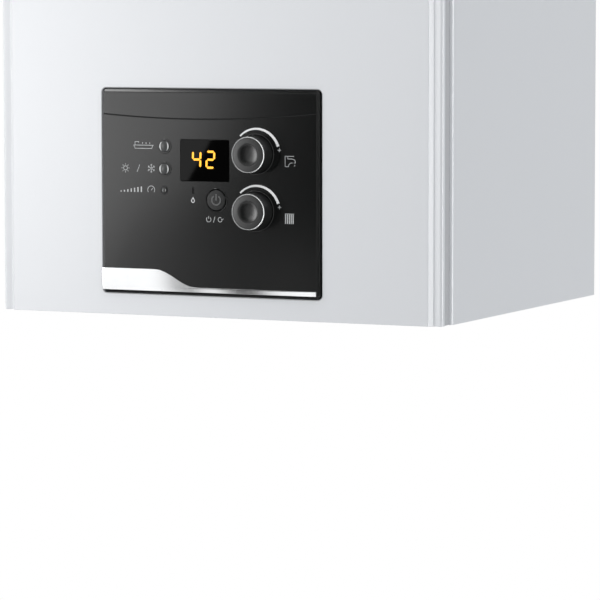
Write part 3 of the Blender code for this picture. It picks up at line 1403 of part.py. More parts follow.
def fan_housing(steel):
    shell = outline("scroll", PLAN, scroll_outline(0.0), SCROLL_BASE, SCROLL_HEIGHT)
    inside = outline("scroll_inside", PLAN, scroll_outline(SCROLL_SHEET), SCROLL_BASE + SCROLL_SHEET,
                     SCROLL_HEIGHT - 2 * SCROLL_SHEET)
    eye = rod("scroll_eye", "UP", 2 * OVERRUN, (FAN_X, FAN_Y, SCROLL_BASE - OVERRUN), EYE_RADIUS, ROUND_SIDES)
    start = (FAN_X, FAN_Y, SCROLL_TOP - OVERRUN)
    shaft = rod("scroll_shaft_hole", "UP", 2 * OVERRUN, start, 2 * FAN_SHAFT_RADIUS)
    spigot_radius = FLUE_RADIUS - FLUE_WALL - SEAT
    spigot_top = CASING_HEIGHT - FLUE_DROP + FLUE_OVERLAP
    length = spigot_top - SCROLL_TOP + EMBED
    spigot = rod("spigot", "UP", length, (0, FLUE_Y, SCROLL_TOP - EMBED), spigot_radius, ROUND_SIDES)
    cut(shell, inside, eye, shaft)
    join(shell, spigot)
    flue_way = rod("spigot_bore", "UP", length + 3 * OVERRUN, (0, FLUE_Y, SCROLL_TOP - OVERRUN),
               spigot_radius - FLUE_WALL, ROUND_SIDES)
    part(cut(shell, flue_way), "fan_housing", steel)


def fan_rotor(aluminium):
    """A wheel of straight blades round an open eye, on the motor's shaft."""
    turn = pivot("fan_axis", (FAN_X, FAN_Y, SCROLL_BASE))
    disc_top = SCROLL_HEIGHT - SCROLL_SHEET - 2 * WHEEL_DISC
    low = disc_top - WHEEL_HEIGHT
    start = (FAN_X, FAN_Y, SCROLL_BASE)
    shaft_top = SCROLL_HEIGHT + FAN_MOTOR_HEIGHT / 2
    profile = [
        (0, shaft_top),
        (FAN_SHAFT_RADIUS, shaft_top),
        (FAN_SHAFT_RADIUS, disc_top),
        (WHEEL_RADIUS, disc_top),
        (WHEEL_RADIUS, disc_top - WHEEL_DISC),
        (2 * FAN_SHAFT_RADIUS, disc_top - WHEEL_DISC),
        (2 * FAN_SHAFT_RADIUS, disc_top - 4 * WHEEL_DISC),
        (0, disc_top - 4 * WHEEL_DISC),
    ]
    rotor = turned("rotor", "UP", start, profile)
    length = WHEEL_RADIUS - WHEEL_INNER_RADIUS - WHEEL_DISC
    base = SCROLL_BASE + low

    def sculpt(work):
        for k in range(WHEEL_BLADES):
            spin = Matrix.Rotation(2 * math.pi * k / WHEEL_BLADES, 4, "Z")
            lean = Matrix.Rotation(math.radians(WHEEL_LEAN), 4, "Z")
            size = Matrix.Diagonal(Vector((length, WHEEL_BLADE, WHEEL_HEIGHT - EMBED, 1)))
            reach = (WHEEL_RADIUS + WHEEL_INNER_RADIUS) / 2
            middle = Matrix.Translation(Vector((reach, 0, WHEEL_HEIGHT / 2)))
            bmesh.ops.create_cube(work, size=1, matrix=spin @ middle @ lean @ size)

    blades = shape("wheel_blades", sculpt, Matrix.Translation(Vector((FAN_X, FAN_Y, base))))
    part(join(rotor, blades), "fan_rotor", aluminium, turn)


def fan_motor(steel):
    base = SCROLL_TOP + SEAT
    foot = FAN_MOTOR_HEIGHT / 8
    inner = FAN_SHAFT_RADIUS + FIT
    profile = [
        (0, FAN_MOTOR_HEIGHT),
        (FAN_MOTOR_CAN_RADIUS * FAN_MOTOR_CROWN_SHARE, FAN_MOTOR_HEIGHT),
        (FAN_MOTOR_CAN_RADIUS, FAN_MOTOR_HEIGHT - foot),
        (FAN_MOTOR_CAN_RADIUS, foot),
        (FAN_MOTOR_RADIUS, foot),
        (FAN_MOTOR_RADIUS, 0),
        (inner, 0),
        (inner, FAN_MOTOR_HEIGHT / 2 + foot),
        (0, FAN_MOTOR_HEIGHT / 2 + foot),
    ]
    part(turned("fan_motor", "UP", (FAN_X, FAN_Y, base), profile), "fan_motor", steel)


def flue_collar(steel):
    """The coaxial outlet: flue pipe inside, air ring outside, joined by three webs."""
    place = (0, FLUE_Y, COLLAR_SEAT)
    air_inner = AIR_RADIUS - FLUE_WALL
    ring = [
        (air_inner, AIR_RISE),
        (AIR_RADIUS, AIR_RISE),
        (AIR_RADIUS, COLLAR_BASE),
        (COLLAR_BASE_RADIUS, COLLAR_BASE),
        (COLLAR_BASE_RADIUS, 0),
        (air_inner, 0),
    ]
    flue = [
        (FLUE_RADIUS - FLUE_WALL, FLUE_RISE),
        (FLUE_RADIUS, FLUE_RISE),
        (FLUE_RADIUS, -FLUE_DROP),
        (FLUE_RADIUS - FLUE_WALL, -FLUE_DROP),
    ]
    collar = turned("collar", "UP", place, ring, ring=True)
    pipe = turned("flue_pipe", "UP", place, flue, ring=True)

    def sculpt(work):
        length = air_inner - FLUE_RADIUS + 2 * EMBED
        for k in range(3):
            spin = Matrix.Rotation(2 * math.pi * k / 3 + math.pi / 2, 4, "Z")
            middle = Matrix.Translation(Vector(((air_inner + FLUE_RADIUS) / 2, 0, AIR_RISE / 2)))
            size = Matrix.Diagonal(Vector((length, FLUE_WALL, AIR_RISE / 2, 1)))
            bmesh.ops.create_cube(work, size=1, matrix=spin @ middle @ size)

    webs = shape("webs", sculpt, Matrix.Translation(Vector(place)))
    part(join(collar, webs, pipe), "flue_collar", steel)


def pressure_switch(black):
    radius = PRESSURE_SWITCH_RADIUS
    depth = PRESSURE_SWITCH_DEPTH
    place = (PRESSURE_SWITCH_X, -FRAME_SHEET - SEAT, PRESSURE_SWITCH_HEIGHT)
    profile = [(radius * across, depth * along) for across, along in PRESSURE_SWITCH_SHARES]
    part(turned("pressure_switch", "FRONT", place, profile, PLAIN_SIDES), "pressure_switch", black)


# Water and gas group


def flow_block(brass):
    y = (-BLOCK_FRONT, -BLOCK_BACK)
    block = bevel(box("flow_block", (-BLOCK_OUTER, -BLOCK_INNER), y, (BLOCK_BASE, BLOCK_TOP)), BLOCK_BEVEL)
    stem_way = bore("diverter_bore", "BACK", STEM_REACH + STEM_TRAVEL + 2 * OVERRUN,
               (DIVERTER_X, y[0] - OVERRUN, DIVERTER_HEIGHT), STEM_RADIUS + SEAT)
    part(cut(block, stem_way), "flow_block", brass)


def return_block(brass):
    y = (-RETURN_BLOCK_FRONT, -BLOCK_BACK)
    block = box("return_block", (BLOCK_INNER, BLOCK_OUTER), y, (BLOCK_BASE, BLOCK_TOP))
    part(bevel(block, BLOCK_BEVEL), "return_block", brass)


def plate_exchanger(steel):
    """A brazed stack of plates; their rims show as grooves round the stack."""
    front = -BLOCK_BACK + SEAT
    depth = PLATES_BACK
    pitch = (BLOCK_BACK - SEAT - depth) / PLATE_COUNT
    half = []
    crest = PLATES_HALF_WIDTH
    root = PLATES_HALF_WIDTH - PLATE_GROOVE
    for k in range(PLATE_COUNT):
        y = front + k * pitch
        half += [(crest, y), (crest, y + pitch / 2), (root, y + pitch / 2), (root, y + pitch)]
    stack = outline("plates", PLAN, mirrored(half[:-1]), PLATES_BASE, PLATES_HEIGHT)
    part(stack, "plate_exchanger", steel)


def gas_valve(aluminium):
    x = (-VALVE_HALF_WIDTH, VALVE_HALF_WIDTH)
    y = (-VALVE_FRONT, -VALVE_BACK)
    body = bevel(box("gas_valve", x, y, (BLOCK_BASE, VALVE_TOP)), BLOCK_BEVEL)
    middle = (BLOCK_BASE + VALVE_TOP) / 2
    cap = rod("governor", "FRONT", VALVE_CAP_LENGTH, (0, y[0] + EMBED, middle), VALVE_CAP_RADIUS, ROUND_SIDES)
    coils = []
    for edge in (-1, 1):
        coils.append((edge * COIL_SPACING / 2, (y[0] + y[1]) / 2 + COIL_SPACING / 2, VALVE_TOP - EMBED))
    join(body, cap, rods("coils", "UP", COIL_HEIGHT, coils, COIL_RADIUS))
    part(body, "gas_valve", aluminium)


def gas_pipe(copper):
    y, z = manifold_span()
    bottom = z[0] - SEAT
    front = (y[0] + y[1]) / 2
    start_y = -VALVE_FRONT + COIL_RADIUS
    level = bottom - 2 * PIPE_BEND
    corners = [(0, start_y, VALVE_TOP + SEAT), (0, start_y, level), (0, front, level), (0, front, bottom)]
    part(tube("gas_pipe", rounded_route(corners, PIPE_BEND), GAS_PIPE_RADIUS), "gas_pipe", copper)


def flow_pipe(copper):
    y = tube_places()[-1]
    x = -STACK_HALF_WIDTH - TUBE_REACH - SEAT
    corners = [(x, y, TUBE_HEIGHT), (-PIPE_DROP_X, y, TUBE_HEIGHT), (-PIPE_DROP_X, y, BLOCK_TOP + SEAT)]
    part(tube("flow_pipe", rounded_route(corners, PIPE_BEND), PIPE_RADIUS), "flow_pipe", copper)


def return_pipe(copper):
    y = tube_places()[0]
    x = STACK_HALF_WIDTH + TUBE_REACH + SEAT
    jog = PUMP_PORT_TOP + 3 * PIPE_BEND
    corners = [
        (x, y, TUBE_HEIGHT),
        (PIPE_DROP_X, y, TUBE_HEIGHT),
        (PIPE_DROP_X, y, jog),
        (PUMP_X, PUMP_MID_Y, jog - PIPE_BEND),
        (PUMP_X, PUMP_MID_Y, PUMP_PORT_TOP + SEAT),
    ]
    part(tube("return_pipe", rounded_route(corners, PIPE_BEND), PIPE_RADIUS), "return_pipe", copper)


def pump_volute(iron):
    back = -PUMP_BACK
    body = rod("volute", "FRONT", PUMP_DEPTH, (PUMP_X, back, PUMP_HEIGHT), VOLUTE_RADIUS, ROUND_SIDES)
    neck_length = PUMP_HEIGHT - BLOCK_TOP - SEAT
    neck = rod("neck", "UP", neck_length, (PUMP_X, PUMP_MID_Y, BLOCK_TOP + SEAT), PUMP_NECK_RADIUS)
    port_length = PUMP_PORT_TOP - PUMP_HEIGHT
    port = rod("port", "UP", port_length, (PUMP_X, PUMP_MID_Y, PUMP_HEIGHT), PUMP_PORT_RADIUS)
    join(body, neck, port)
    start = (PUMP_X, PUMP_FACE_Y - OVERRUN, PUMP_HEIGHT)
    chamber = rod("pump_bore", "BACK", PUMP_BORE_DEPTH + OVERRUN, start, PUMP_BORE_RADIUS, ROUND_SIDES)
    part(cut(body, chamber), "pump_volute", iron)


def pump_motor(paint):
    """The motor can with cooling fins round it, and the bore for the shaft."""
    points = []
    root = PUMP_MOTOR_RADIUS - PUMP_FIN_DEPTH
    corners = [(share, PUMP_MOTOR_RADIUS) for share in PUMP_FIN_CREST_SHARES]
    corners += [(share, root) for share in PUMP_FIN_GROOVE_SHARES]
    for k in range(PUMP_FIN_COUNT):
        for share, radius in corners:
            angle = 2 * math.pi * (k + share) / PUMP_FIN_COUNT
            points.append((PUMP_X + radius * math.cos(angle), PUMP_HEIGHT + radius * math.sin(angle)))
    back = PUMP_FACE_Y - SEAT
    can = front_outline("pump_motor", points, back - PUMP_MOTOR_LENGTH, PUMP_MOTOR_LENGTH)
    mouth = (PUMP_X, back + OVERRUN, PUMP_HEIGHT)
    shaft_way = bore("shaft_bore", "FRONT", PUMP_SHAFT_LENGTH, mouth, PUMP_SHAFT_RADIUS + FIT)
    part(cut(can, shaft_way), "pump_motor", paint)


def pump_impeller(plastic):
    turn = pivot("pump_axis", (PUMP_X, PUMP_FACE_Y, PUMP_HEIGHT))
    shaft_end = PUMP_SHAFT_LENGTH - 2 * OVERRUN
    back = -PUMP_BORE_DEPTH / 4
    profile = [
        (0, shaft_end),
        (PUMP_SHAFT_RADIUS, shaft_end),
        (PUMP_SHAFT_RADIUS, back),
        (IMPELLER_RADIUS, back),
        (IMPELLER_RADIUS, back - IMPELLER_DISC),
        (0, back - IMPELLER_DISC),
    ]
    wheel = turned("impeller", "FRONT", (PUMP_X, PUMP_FACE_Y, PUMP_HEIGHT), profile)
    length = IMPELLER_RADIUS - 2 * PUMP_SHAFT_RADIUS

    def sculpt(work):
        for k in range(IMPELLER_VANES):
            spin = Matrix.Rotation(2 * math.pi * k / IMPELLER_VANES, 4, "Y")
            lean = Matrix.Rotation(math.radians(IMPELLER_LEAN), 4, "Y")
            reach = (IMPELLER_RADIUS + PUMP_SHAFT_RADIUS) / 2
            middle = Matrix.Translation(Vector((reach, IMPELLER_VANE / 2, 0)))
            size = Matrix.Diagonal(Vector((length, IMPELLER_VANE, WHEEL_BLADE, 1)))
            bmesh.ops.create_cube(work, size=1, matrix=spin @ middle @ lean @ size)

    place = (PUMP_X, PUMP_FACE_Y - back + IMPELLER_DISC - EMBED, PUMP_HEIGHT)
    vanes = shape("vanes", sculpt, Matrix.Translation(Vector(place)))
    part(join(wheel, vanes), "pump_impeller", plastic, turn)


def diverter(plastic, steel):
    """The diverter's motor on the flow block, and the stem it pushes into the block."""
    front = -BLOCK_FRONT - SEAT
    half = DIVERTER_HALF
    body = box("diverter", (DIVERTER_X - half, DIVERTER_X + half), (front - DIVERTER_LENGTH, front),
               (DIVERTER_HEIGHT - half, DIVERTER_HEIGHT + half))
    bevel(body, BLOCK_BEVEL)
    cap_start = (DIVERTER_X, front - DIVERTER_LENGTH + EMBED, DIVERTER_HEIGHT)
    join(body, rod("diverter_cap", "FRONT", DIVERTER_CAP_LENGTH, cap_start, DIVERTER_CAP_RADIUS))
    stem_way = bore("diverter_motor_bore", "FRONT", STEM_REACH + OVERRUN + SEAT,
               (DIVERTER_X, front + OVERRUN, DIVERTER_HEIGHT), STEM_RADIUS + SEAT)
    part(cut(body, stem_way), "diverter_motor", plastic)
    slide = pivot("diverter_axis", (DIVERTER_X, -BLOCK_FRONT, DIVERTER_HEIGHT))
    start = (DIVERTER_X, -BLOCK_FRONT + STEM_REACH, DIVERTER_HEIGHT)
    stem = rod("stem", "FRONT", 2 * STEM_REACH - OVERRUN / 2, start, STEM_RADIUS)
    part(stem, "diverter_stem", steel, slide)


def relief_valve(brass, red):
    """The safety valve on the return block, with the cap that is turned to lift it."""
    front = -RETURN_BLOCK_FRONT - SEAT
    start = (RELIEF_X, front, RELIEF_HEIGHT)
    body = rod("safety_valve", "FRONT", RELIEF_LENGTH, start, RELIEF_RADIUS, HEX_SIDES)
    face = front - RELIEF_LENGTH
    mouth = (RELIEF_X, face - OVERRUN, RELIEF_HEIGHT)
    pin_way = bore("cap_bore", "BACK", CAP_PIN_LENGTH + 2 * OVERRUN, mouth, CAP_PIN_RADIUS + SEAT)
    part(cut(body, pin_way), "safety_valve", brass)
    turn = pivot("relief_axis", (RELIEF_X, face, RELIEF_HEIGHT))
    points = []
    for k in range(2 * RELIEF_CAP_FLUTES):
        radius = RELIEF_CAP_RADIUS - (k % 2) * RELIEF_CAP_FLUTE_DEPTH
        angle = math.pi * k / RELIEF_CAP_FLUTES
        points.append((RELIEF_X + radius * math.cos(angle), RELIEF_HEIGHT + radius * math.sin(angle)))
    cap = front_outline("relief_cap", points, face - SEAT - RELIEF_CAP_LENGTH, RELIEF_CAP_LENGTH)
    start = (RELIEF_X, face - SEAT - EMBED, RELIEF_HEIGHT)
    pin = rod("cap_pin", "BACK", CAP_PIN_LENGTH + EMBED, start, CAP_PIN_RADIUS)
    part(join(cap, pin), "relief_cap", red, turn)


def filling_valve(brass, black):
    """The filling valve under the return block; its knob hangs below the floor plate."""
    y = -FILLING_WALL_DISTANCE
    top = BLOCK_BASE - SEAT
    under = FLOOR_HEIGHT - SEAT
    inner = CAP_PIN_RADIUS + SEAT
    profile = [
        (0, top),
        (FILLING_RADIUS, top),
        (FILLING_RADIUS, under),
        (FILLING_NUT_RADIUS, under),
        (FILLING_NUT_RADIUS, FILLING_BASE),
        (inner, FILLING_BASE),
        (inner, FILLING_BASE + CAP_PIN_LENGTH + OVERRUN),
        (0, FILLING_BASE + CAP_PIN_LENGTH + OVERRUN),
    ]
    part(turned("filling_valve", "UP", (FILLING_X, y, 0), profile, PLAIN_SIDES), "filling_valve", brass)
    turn = pivot("filling_axis", (FILLING_X, y, FILLING_BASE))
    knob_top = FILLING_BASE - SEAT
    points = []
    for k in range(2 * RELIEF_CAP_FLUTES):
        radius = FILLING_KNOB_RADIUS - (k % 2) * RELIEF_CAP_FLUTE_DEPTH
        angle = math.pi * k / RELIEF_CAP_FLUTES
        points.append((FILLING_X + radius * math.cos(angle), y + radius * math.sin(angle)))
    grip = outline("filling_knob", PLAN, points, knob_top - FILLING_KNOB_HEIGHT, FILLING_KNOB_HEIGHT)
    pin = rod("filling_pin", "UP", CAP_PIN_LENGTH + EMBED, (FILLING_X, y, knob_top - EMBED), CAP_PIN_RADIUS)
    part(join(grip, pin), "filling_knob", black, turn)


def expansion_vessel(red):
    """A flat round vessel of two dished halves, seamed round the middle, on the frame's ribs."""
    depth = VESSEL_DEPTH
    middle = depth / 2
    seam = VESSEL_SEAM_HEIGHT / 2
    profile = [
        (0, depth),
        (VESSEL_FLAT_RADIUS, depth),
        (VESSEL_RADIUS - VESSEL_SEAM / 2, depth - VESSEL_SEAM),
        (VESSEL_RADIUS, middle + seam),
        (VESSEL_RADIUS + VESSEL_SEAM, middle + seam),
        (VESSEL_RADIUS + VESSEL_SEAM, middle - seam),
        (VESSEL_RADIUS, middle - seam),
        (VESSEL_RADIUS - VESSEL_SEAM / 2, VESSEL_SEAM),
        (VESSEL_FLAT_RADIUS, 0),
        (0, 0),
    ]
    vessel = turned("vessel", "FRONT", (0, FRAME_SEAT_Y, VESSEL_HEIGHT), profile, ROUND_SIDES)
    start = (0, VESSEL_Y - VESSEL_DEPTH / 4, VESSEL_HEIGHT - VESSEL_RADIUS + VESSEL_NIPPLE)
    nipple = rod("nipple", "DOWN", 2 * VESSEL_NIPPLE, start, VESSEL_PIPE_RADIUS)
    part(join(vessel, nipple), "expansion_vessel", red)


def vessel_pipe(copper):
    y = VESSEL_Y - VESSEL_DEPTH / 4
    top = VESSEL_HEIGHT - VESSEL_RADIUS - VESSEL_NIPPLE - SEAT
    over = PLATES_BASE + PLATES_HEIGHT + PIPE_BEND
    end_x = BLOCK_INNER + PIPE_BEND
    end_y = -BLOCK_BACK - PIPE_BEND
    corners = [(0, y, top), (0, y, over), (end_x, end_y, over), (end_x, end_y, BLOCK_TOP + SEAT)]
    part(tube("vessel_pipe", rounded_route(corners, PIPE_BEND), VESSEL_PIPE_RADIUS), "vessel_pipe", copper)


def air_vent(brass):
    base = (VENT_X, STUB_Y, BLOCK_TOP + SEAT)
    top = VENT_FOOT + VENT_HEIGHT
    profile = [
        (0, top + VENT_FOOT / 2),
        (VENT_FOOT_RADIUS / 2, top + VENT_FOOT / 2),
        (VENT_FOOT_RADIUS / 2, top),
        (VENT_RADIUS * VENT_CROWN_SHARE, top),
        (VENT_RADIUS, top - VENT_FOOT / 2),
        (VENT_RADIUS, VENT_FOOT),
        (VENT_FOOT_RADIUS, VENT_FOOT),
        (VENT_FOOT_RADIUS, 0),
        (0, 0),
    ]
    part(turned("air_vent", "UP", base, profile, PLAIN_SIDES), "air_vent", brass)


def build():
    white = material("white enamel", (0.86, 0.87, 0.89), 0.35)
    zinc = material("zinc plated steel", (0.60, 0.61, 0.62), 0.40, 1.0)
    black = material("black plastic", (0.015, 0.016, 0.016), 0.45)
    gloss = material("gloss black", (0.010, 0.011, 0.011), 0.08)
    chrome = material("chrome", (0.80, 0.81, 0.82), 0.08, 1.0)
    glass = material("black glass", (0.004, 0.004, 0.004), 0.03)
    lamp = material("clear lens", (0.35, 0.36, 0.36), 0.15)
    board = material("circuit board", (0.02, 0.16, 0.07), 0.40)
    foam = material("grey foam", (0.20, 0.20, 0.21), 0.90)
    fibre = material("ceramic fibre", (0.78, 0.76, 0.70), 0.95)
    ceramic = material("white ceramic", (0.82, 0.81, 0.78), 0.30)
    copper = material("copper", (0.72, 0.36, 0.22), 0.30, 1.0)
    brass = material("brass", (0.72, 0.55, 0.26), 0.32, 1.0)
    aluminium = material("cast aluminium", (0.62, 0.63, 0.64), 0.45, 1.0)
    iron = material("cast iron", (0.10, 0.10, 0.11), 0.60, 0.5)
    red = material("red paint", (0.55, 0.03, 0.02), 0.35)

    back_frame(zinc)
    side_panel("side_panel_left", -1, white)
    side_panel("side_panel_right", 1, white)
    top_panel(white)
    floor_plate(zinc)
    cable_gland(black)
    connection_stubs(brass)
    cover_slide = pivot("cover_slide", (0, COVER_BACK_Y, 0))
    front_cover(white, cover_slide)
    cover_pad(foam, cover_slide)

    control_housing(black)
    fascia(gloss)
    fascia_trim(chrome)
    display_window(glass)
    control_board(board)
    for name, height in knob_places():
        knob(name, height, black, chrome)
    for name, x, z, radius in button_places():
        push_button(name, x, z, radius, black if name == "power_button" else chrome)
    lamps(lamp)

    burner_cradle(zinc)
    burner_tray(zinc)
    burner_blades(zinc)
    gas_manifold(aluminium)
    combustion_chamber(zinc)
    chamber_lining(fibre)
    ignition_electrodes(ceramic)
    heat_exchanger(copper)
    flue_hood(zinc)
    fan_housing(zinc)
    fan_rotor(aluminium)
    fan_motor(zinc)
    flue_collar(zinc)
    pressure_switch(black)

    flow_block(brass)
    return_block(brass)
    plate_exchanger(zinc)
    gas_valve(aluminium)
    gas_pipe(copper)
    flow_pipe(copper)
    return_pipe(copper)
    pump_volute(iron)
    pump_motor(black)
    pump_impeller(black)
    diverter(black, zinc)
    relief_valve(brass, red)
    filling_valve(brass, black)
    expansion_vessel(red)
    vessel_pipe(copper)
    air_vent(brass)


clear_scene()
PARTS = collection("wall_mounted_gas_boiler")
CUTTERS = collection("cutters")
ROOT = bpy.data.objects.new("boiler_frame", None)
ROOT.location = (0, 0, -HANG_HEIGHT)
PARTS.objects.link(ROOT)
build()
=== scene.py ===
"""Looks of the wall-hung gas boiler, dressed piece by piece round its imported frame."""

import math

import bmesh
import bpy
from mathutils import Matrix, Vector


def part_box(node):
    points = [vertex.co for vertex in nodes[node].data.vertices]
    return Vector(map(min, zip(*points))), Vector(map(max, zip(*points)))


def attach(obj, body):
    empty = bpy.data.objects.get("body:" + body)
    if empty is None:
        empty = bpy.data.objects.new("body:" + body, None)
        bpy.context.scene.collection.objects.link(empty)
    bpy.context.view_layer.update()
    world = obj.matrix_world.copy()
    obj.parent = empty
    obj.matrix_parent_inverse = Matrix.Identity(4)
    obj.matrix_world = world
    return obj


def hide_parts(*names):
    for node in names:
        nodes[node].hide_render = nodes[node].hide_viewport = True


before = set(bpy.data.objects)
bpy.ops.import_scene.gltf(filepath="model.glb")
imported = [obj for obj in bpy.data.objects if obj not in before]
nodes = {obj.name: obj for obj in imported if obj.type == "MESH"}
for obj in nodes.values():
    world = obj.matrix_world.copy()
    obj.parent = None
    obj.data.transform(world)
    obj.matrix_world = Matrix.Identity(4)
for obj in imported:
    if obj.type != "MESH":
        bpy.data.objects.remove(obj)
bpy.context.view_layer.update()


# Back frame: one zinc coated steel sheet, folded at both edges, with two pressed ribs and four slots.
# The zinc freezes in small grey crystals, each with its own tone and gloss.
SPANGLE = 0.005
SPANGLE_TONES = ((0.56, 0.57, 0.58), (0.61, 0.62, 0.63))
ZINC_GLOSS = (0.40, 0.50)
GRAIN_DETAIL = 4
GLOSS_SWING = 0.15
VALUE_SPAN = (0.25, 0.75)
TONE_STOPS = (0.3, 0.7)


def node(tree, kind, inputs=()):
    """Adds a shader node and sets its inputs, given by name."""
    made = tree.nodes.new("ShaderNode" + kind)
    for name, value in dict(inputs).items():
        made.inputs[name].default_value = value
    return made


def shader_of(made):
    return made.node_tree.nodes["Principled BSDF"]


def finish(name, colour, roughness, metallic=0.0, specular=0.5):
    made = bpy.data.materials.new(name)
    made.use_nodes = True
    inputs = shader_of(made).inputs
    inputs["Base Color"].default_value = (*colour, 1)
    inputs["Roughness"].default_value = roughness
    inputs["Metallic"].default_value = metallic
    inputs["Specular IOR Level"].default_value = specular
    return made


def texture(made, kind, size, stretch=(1, 1, 1)):
    """A procedural texture whose marks are the given size in metres, stretched along the axes."""
    tree = made.node_tree
    place = node(tree, "TexCoord")
    scale = node(tree, "Mapping", {"Scale": [1 / (size * share) for share in stretch]})
    pattern = node(tree, kind, {"Scale": 1})
    tree.links.new(place.outputs["Object"], scale.inputs["Vector"])
    tree.links.new(scale.outputs["Vector"], pattern.inputs["Vector"])
    return pattern


def spread(made, source, socket, low, high):
    """Sends a texture's value to a number on the shader, between two values."""
    tree = made.node_tree
    least, most = VALUE_SPAN
    span = node(tree, "MapRange", {"From Min": least, "From Max": most, "To Min": low, "To Max": high})
    tree.links.new(source, span.inputs["Value"])
    tree.links.new(span.outputs["Result"], shader_of(made).inputs[socket])


def shade(made, source, dark, light):
    """Sends a texture's value to the colour, between two tones."""
    tree = made.node_tree
    ramp = node(tree, "ValToRGB")
    for stop, place, tone in zip(ramp.color_ramp.elements, TONE_STOPS, (dark, light)):
        stop.position = place
        stop.color = (*tone, 1)
    tree.links.new(source, ramp.inputs["Fac"])
    tree.links.new(ramp.outputs["Color"], shader_of(made).inputs["Base Color"])


def emboss(made, source, relief):
    """Raises the surface by the texture, to the relief in metres."""
    tree = made.node_tree
    bump = node(tree, "Bump", {"Distance": relief})
    tree.links.new(source, bump.inputs["Height"])
    tree.links.new(bump.outputs["Normal"], shader_of(made).inputs["Normal"])


def tinted(colour, factor):
    return tuple(min(1, part * factor) for part in colour)


def grained(name, colour, roughness, grain, relief, swing, metallic=0.0, stretch=(1, 1, 1), specular=0.5):
    """A finish with fine marks of the grain's size and relief in metres, and a swing of tone and gloss."""
    made = finish(name, colour, roughness, metallic, specular)
    pattern = texture(made, "TexNoise", grain, stretch)
    pattern.inputs["Detail"].default_value = GRAIN_DETAIL
    value = pattern.outputs["Fac"]
    shade(made, value, tinted(colour, 1 - swing), tinted(colour, 1 + swing))
    spread(made, value, "Roughness", roughness * (1 - GLOSS_SWING), roughness * (1 + GLOSS_SWING))
    emboss(made, value, relief)
    return made


def metal(name, colour, roughness, grain, relief, swing, stretch=(1, 1, 1)):
    return grained(name, colour, roughness, grain, relief, swing, 1.0, stretch)


def dress(made, *names):
    for name in names:
        for place in nodes[name].material_slots:
            place.material = made


def spangled(name, size):
    made = finish(name, SPANGLE_TONES[1], ZINC_GLOSS[0], 1.0)
    cells = texture(made, "TexVoronoi", size)
    split = node(made.node_tree, "SeparateColor")
    made.node_tree.links.new(cells.outputs["Color"], split.inputs["Color"])
    shade(made, split.outputs["Red"], *SPANGLE_TONES)
    spread(made, split.outputs["Green"], "Roughness", *ZINC_GLOSS)
    return made


zinc = spangled("zinc_coated_sheet", SPANGLE)
dress(zinc, "back_frame")


# Side panels: 1 mm steel sheet, folded round a small radius into a front flange, then enamelled white.
# Two studs on each flange catch the sockets of the front cover.
ENAMEL_COLOUR = (0.80, 0.81, 0.83)
ENAMEL_ROUGHNESS = 0.36
ORANGE_PEEL = 0.0011
ORANGE_PEEL_RELIEF = 0.000004
SHEET = 0.001
PANEL_FLANGE = 0.034
PANEL_EDGE_RADIUS = 0.0025
STUDS = (("low", -0.640), ("high", 0.0))
STUD_INSET = 0.023
STUD_RADIUS = 0.0035
STUD_NECK = STUD_RADIUS * 0.72
STUD_NECK_HEIGHTS = (0.0075, 0.0065, 0.0045, 0.0035)
STUD_LENGTH = 0.011
STUD_TIP = 0.001
STUD_TIP_SHARE = 0.7
TURNED_SIDES = 40
SHARP = math.radians(32)
FACING = {
    "FRONT": Matrix.Rotation(math.pi / 2, 4, "X"),
    "UP": Matrix.Identity(4),
}
SIDES = ((-1, "left"), (1, "right"))

enamel = grained("white_enamel", ENAMEL_COLOUR, ENAMEL_ROUGHNESS, ORANGE_PEEL, ORANGE_PEEL_RELIEF,
                 swing=0.006)


def smooth(made):
    made.data.shade_smooth()
    made.data.set_sharp_from_angle(angle=SHARP)


def solid(name, work, place=None):
    """A mesh object from the worked mesh, shaded smooth across shallow angles."""
    mesh = bpy.data.meshes.new(name)
    work.to_mesh(mesh)
    work.free()
    made = bpy.data.objects.new(name, mesh)
    bpy.context.scene.collection.objects.link(made)
    if place is not None:
        mesh.transform(place)
    smooth(made)
    return made


def mesh_now(made):
    """The piece's mesh with its modifiers carried out."""
    bpy.context.view_layer.update()
    return bpy.data.meshes.new_from_object(made.evaluated_get(bpy.context.evaluated_depsgraph_get()))


def settle(made):
    """Turns the piece's modifiers into its mesh."""
    mesh = mesh_now(made)
    made.modifiers.clear()
    made.data = mesh
    smooth(made)
    return made


def even_light(made):
    """Keeps broad flat faces flat where they meet a rounded edge."""
    made.modifiers.new("Flats", "WEIGHTED_NORMAL").keep_sharp = True
    return made


def thickened(made, thickness, offset):
    """Gives a bent surface the thickness of its sheet."""
    wall = made.modifiers.new("Sheet", "SOLIDIFY")
    wall.thickness = thickness
    wall.offset = offset
    wall.use_even_offset = offset != 0
    return settle(made)


def bridge(work, first, second, closed=True):
    """Faces between two rows of points."""
    for k in range(len(first) if closed else len(first) - 1):
        after = (k + 1) % len(first)
        work.faces.new((first[k], first[after], second[after], second[k]))


def around(radius, angle, centre=(0, 0)):
    """The point at the radius and the angle from the centre."""
    return centre[0] + radius * math.cos(angle), centre[1] + radius * math.sin(angle)


def ring_of(work, radius, height, sides, centre=(0, 0)):
    """A ring of points round the centre."""
    angles = [2 * math.pi * k / sides for k in range(sides)]
    return [work.verts.new((*around(radius, angle, centre), height)) for angle in angles]


def shoulder(radius, top, rounding, steps):
    """The rounded shoulder of a profile, from its flat top to its side."""
    angles = [math.pi / 2 * k / steps for k in range(steps + 1)]
    return [(radius - rounding * (1 - math.sin(a)), top - rounding * (1 - math.cos(a))) for a in angles]


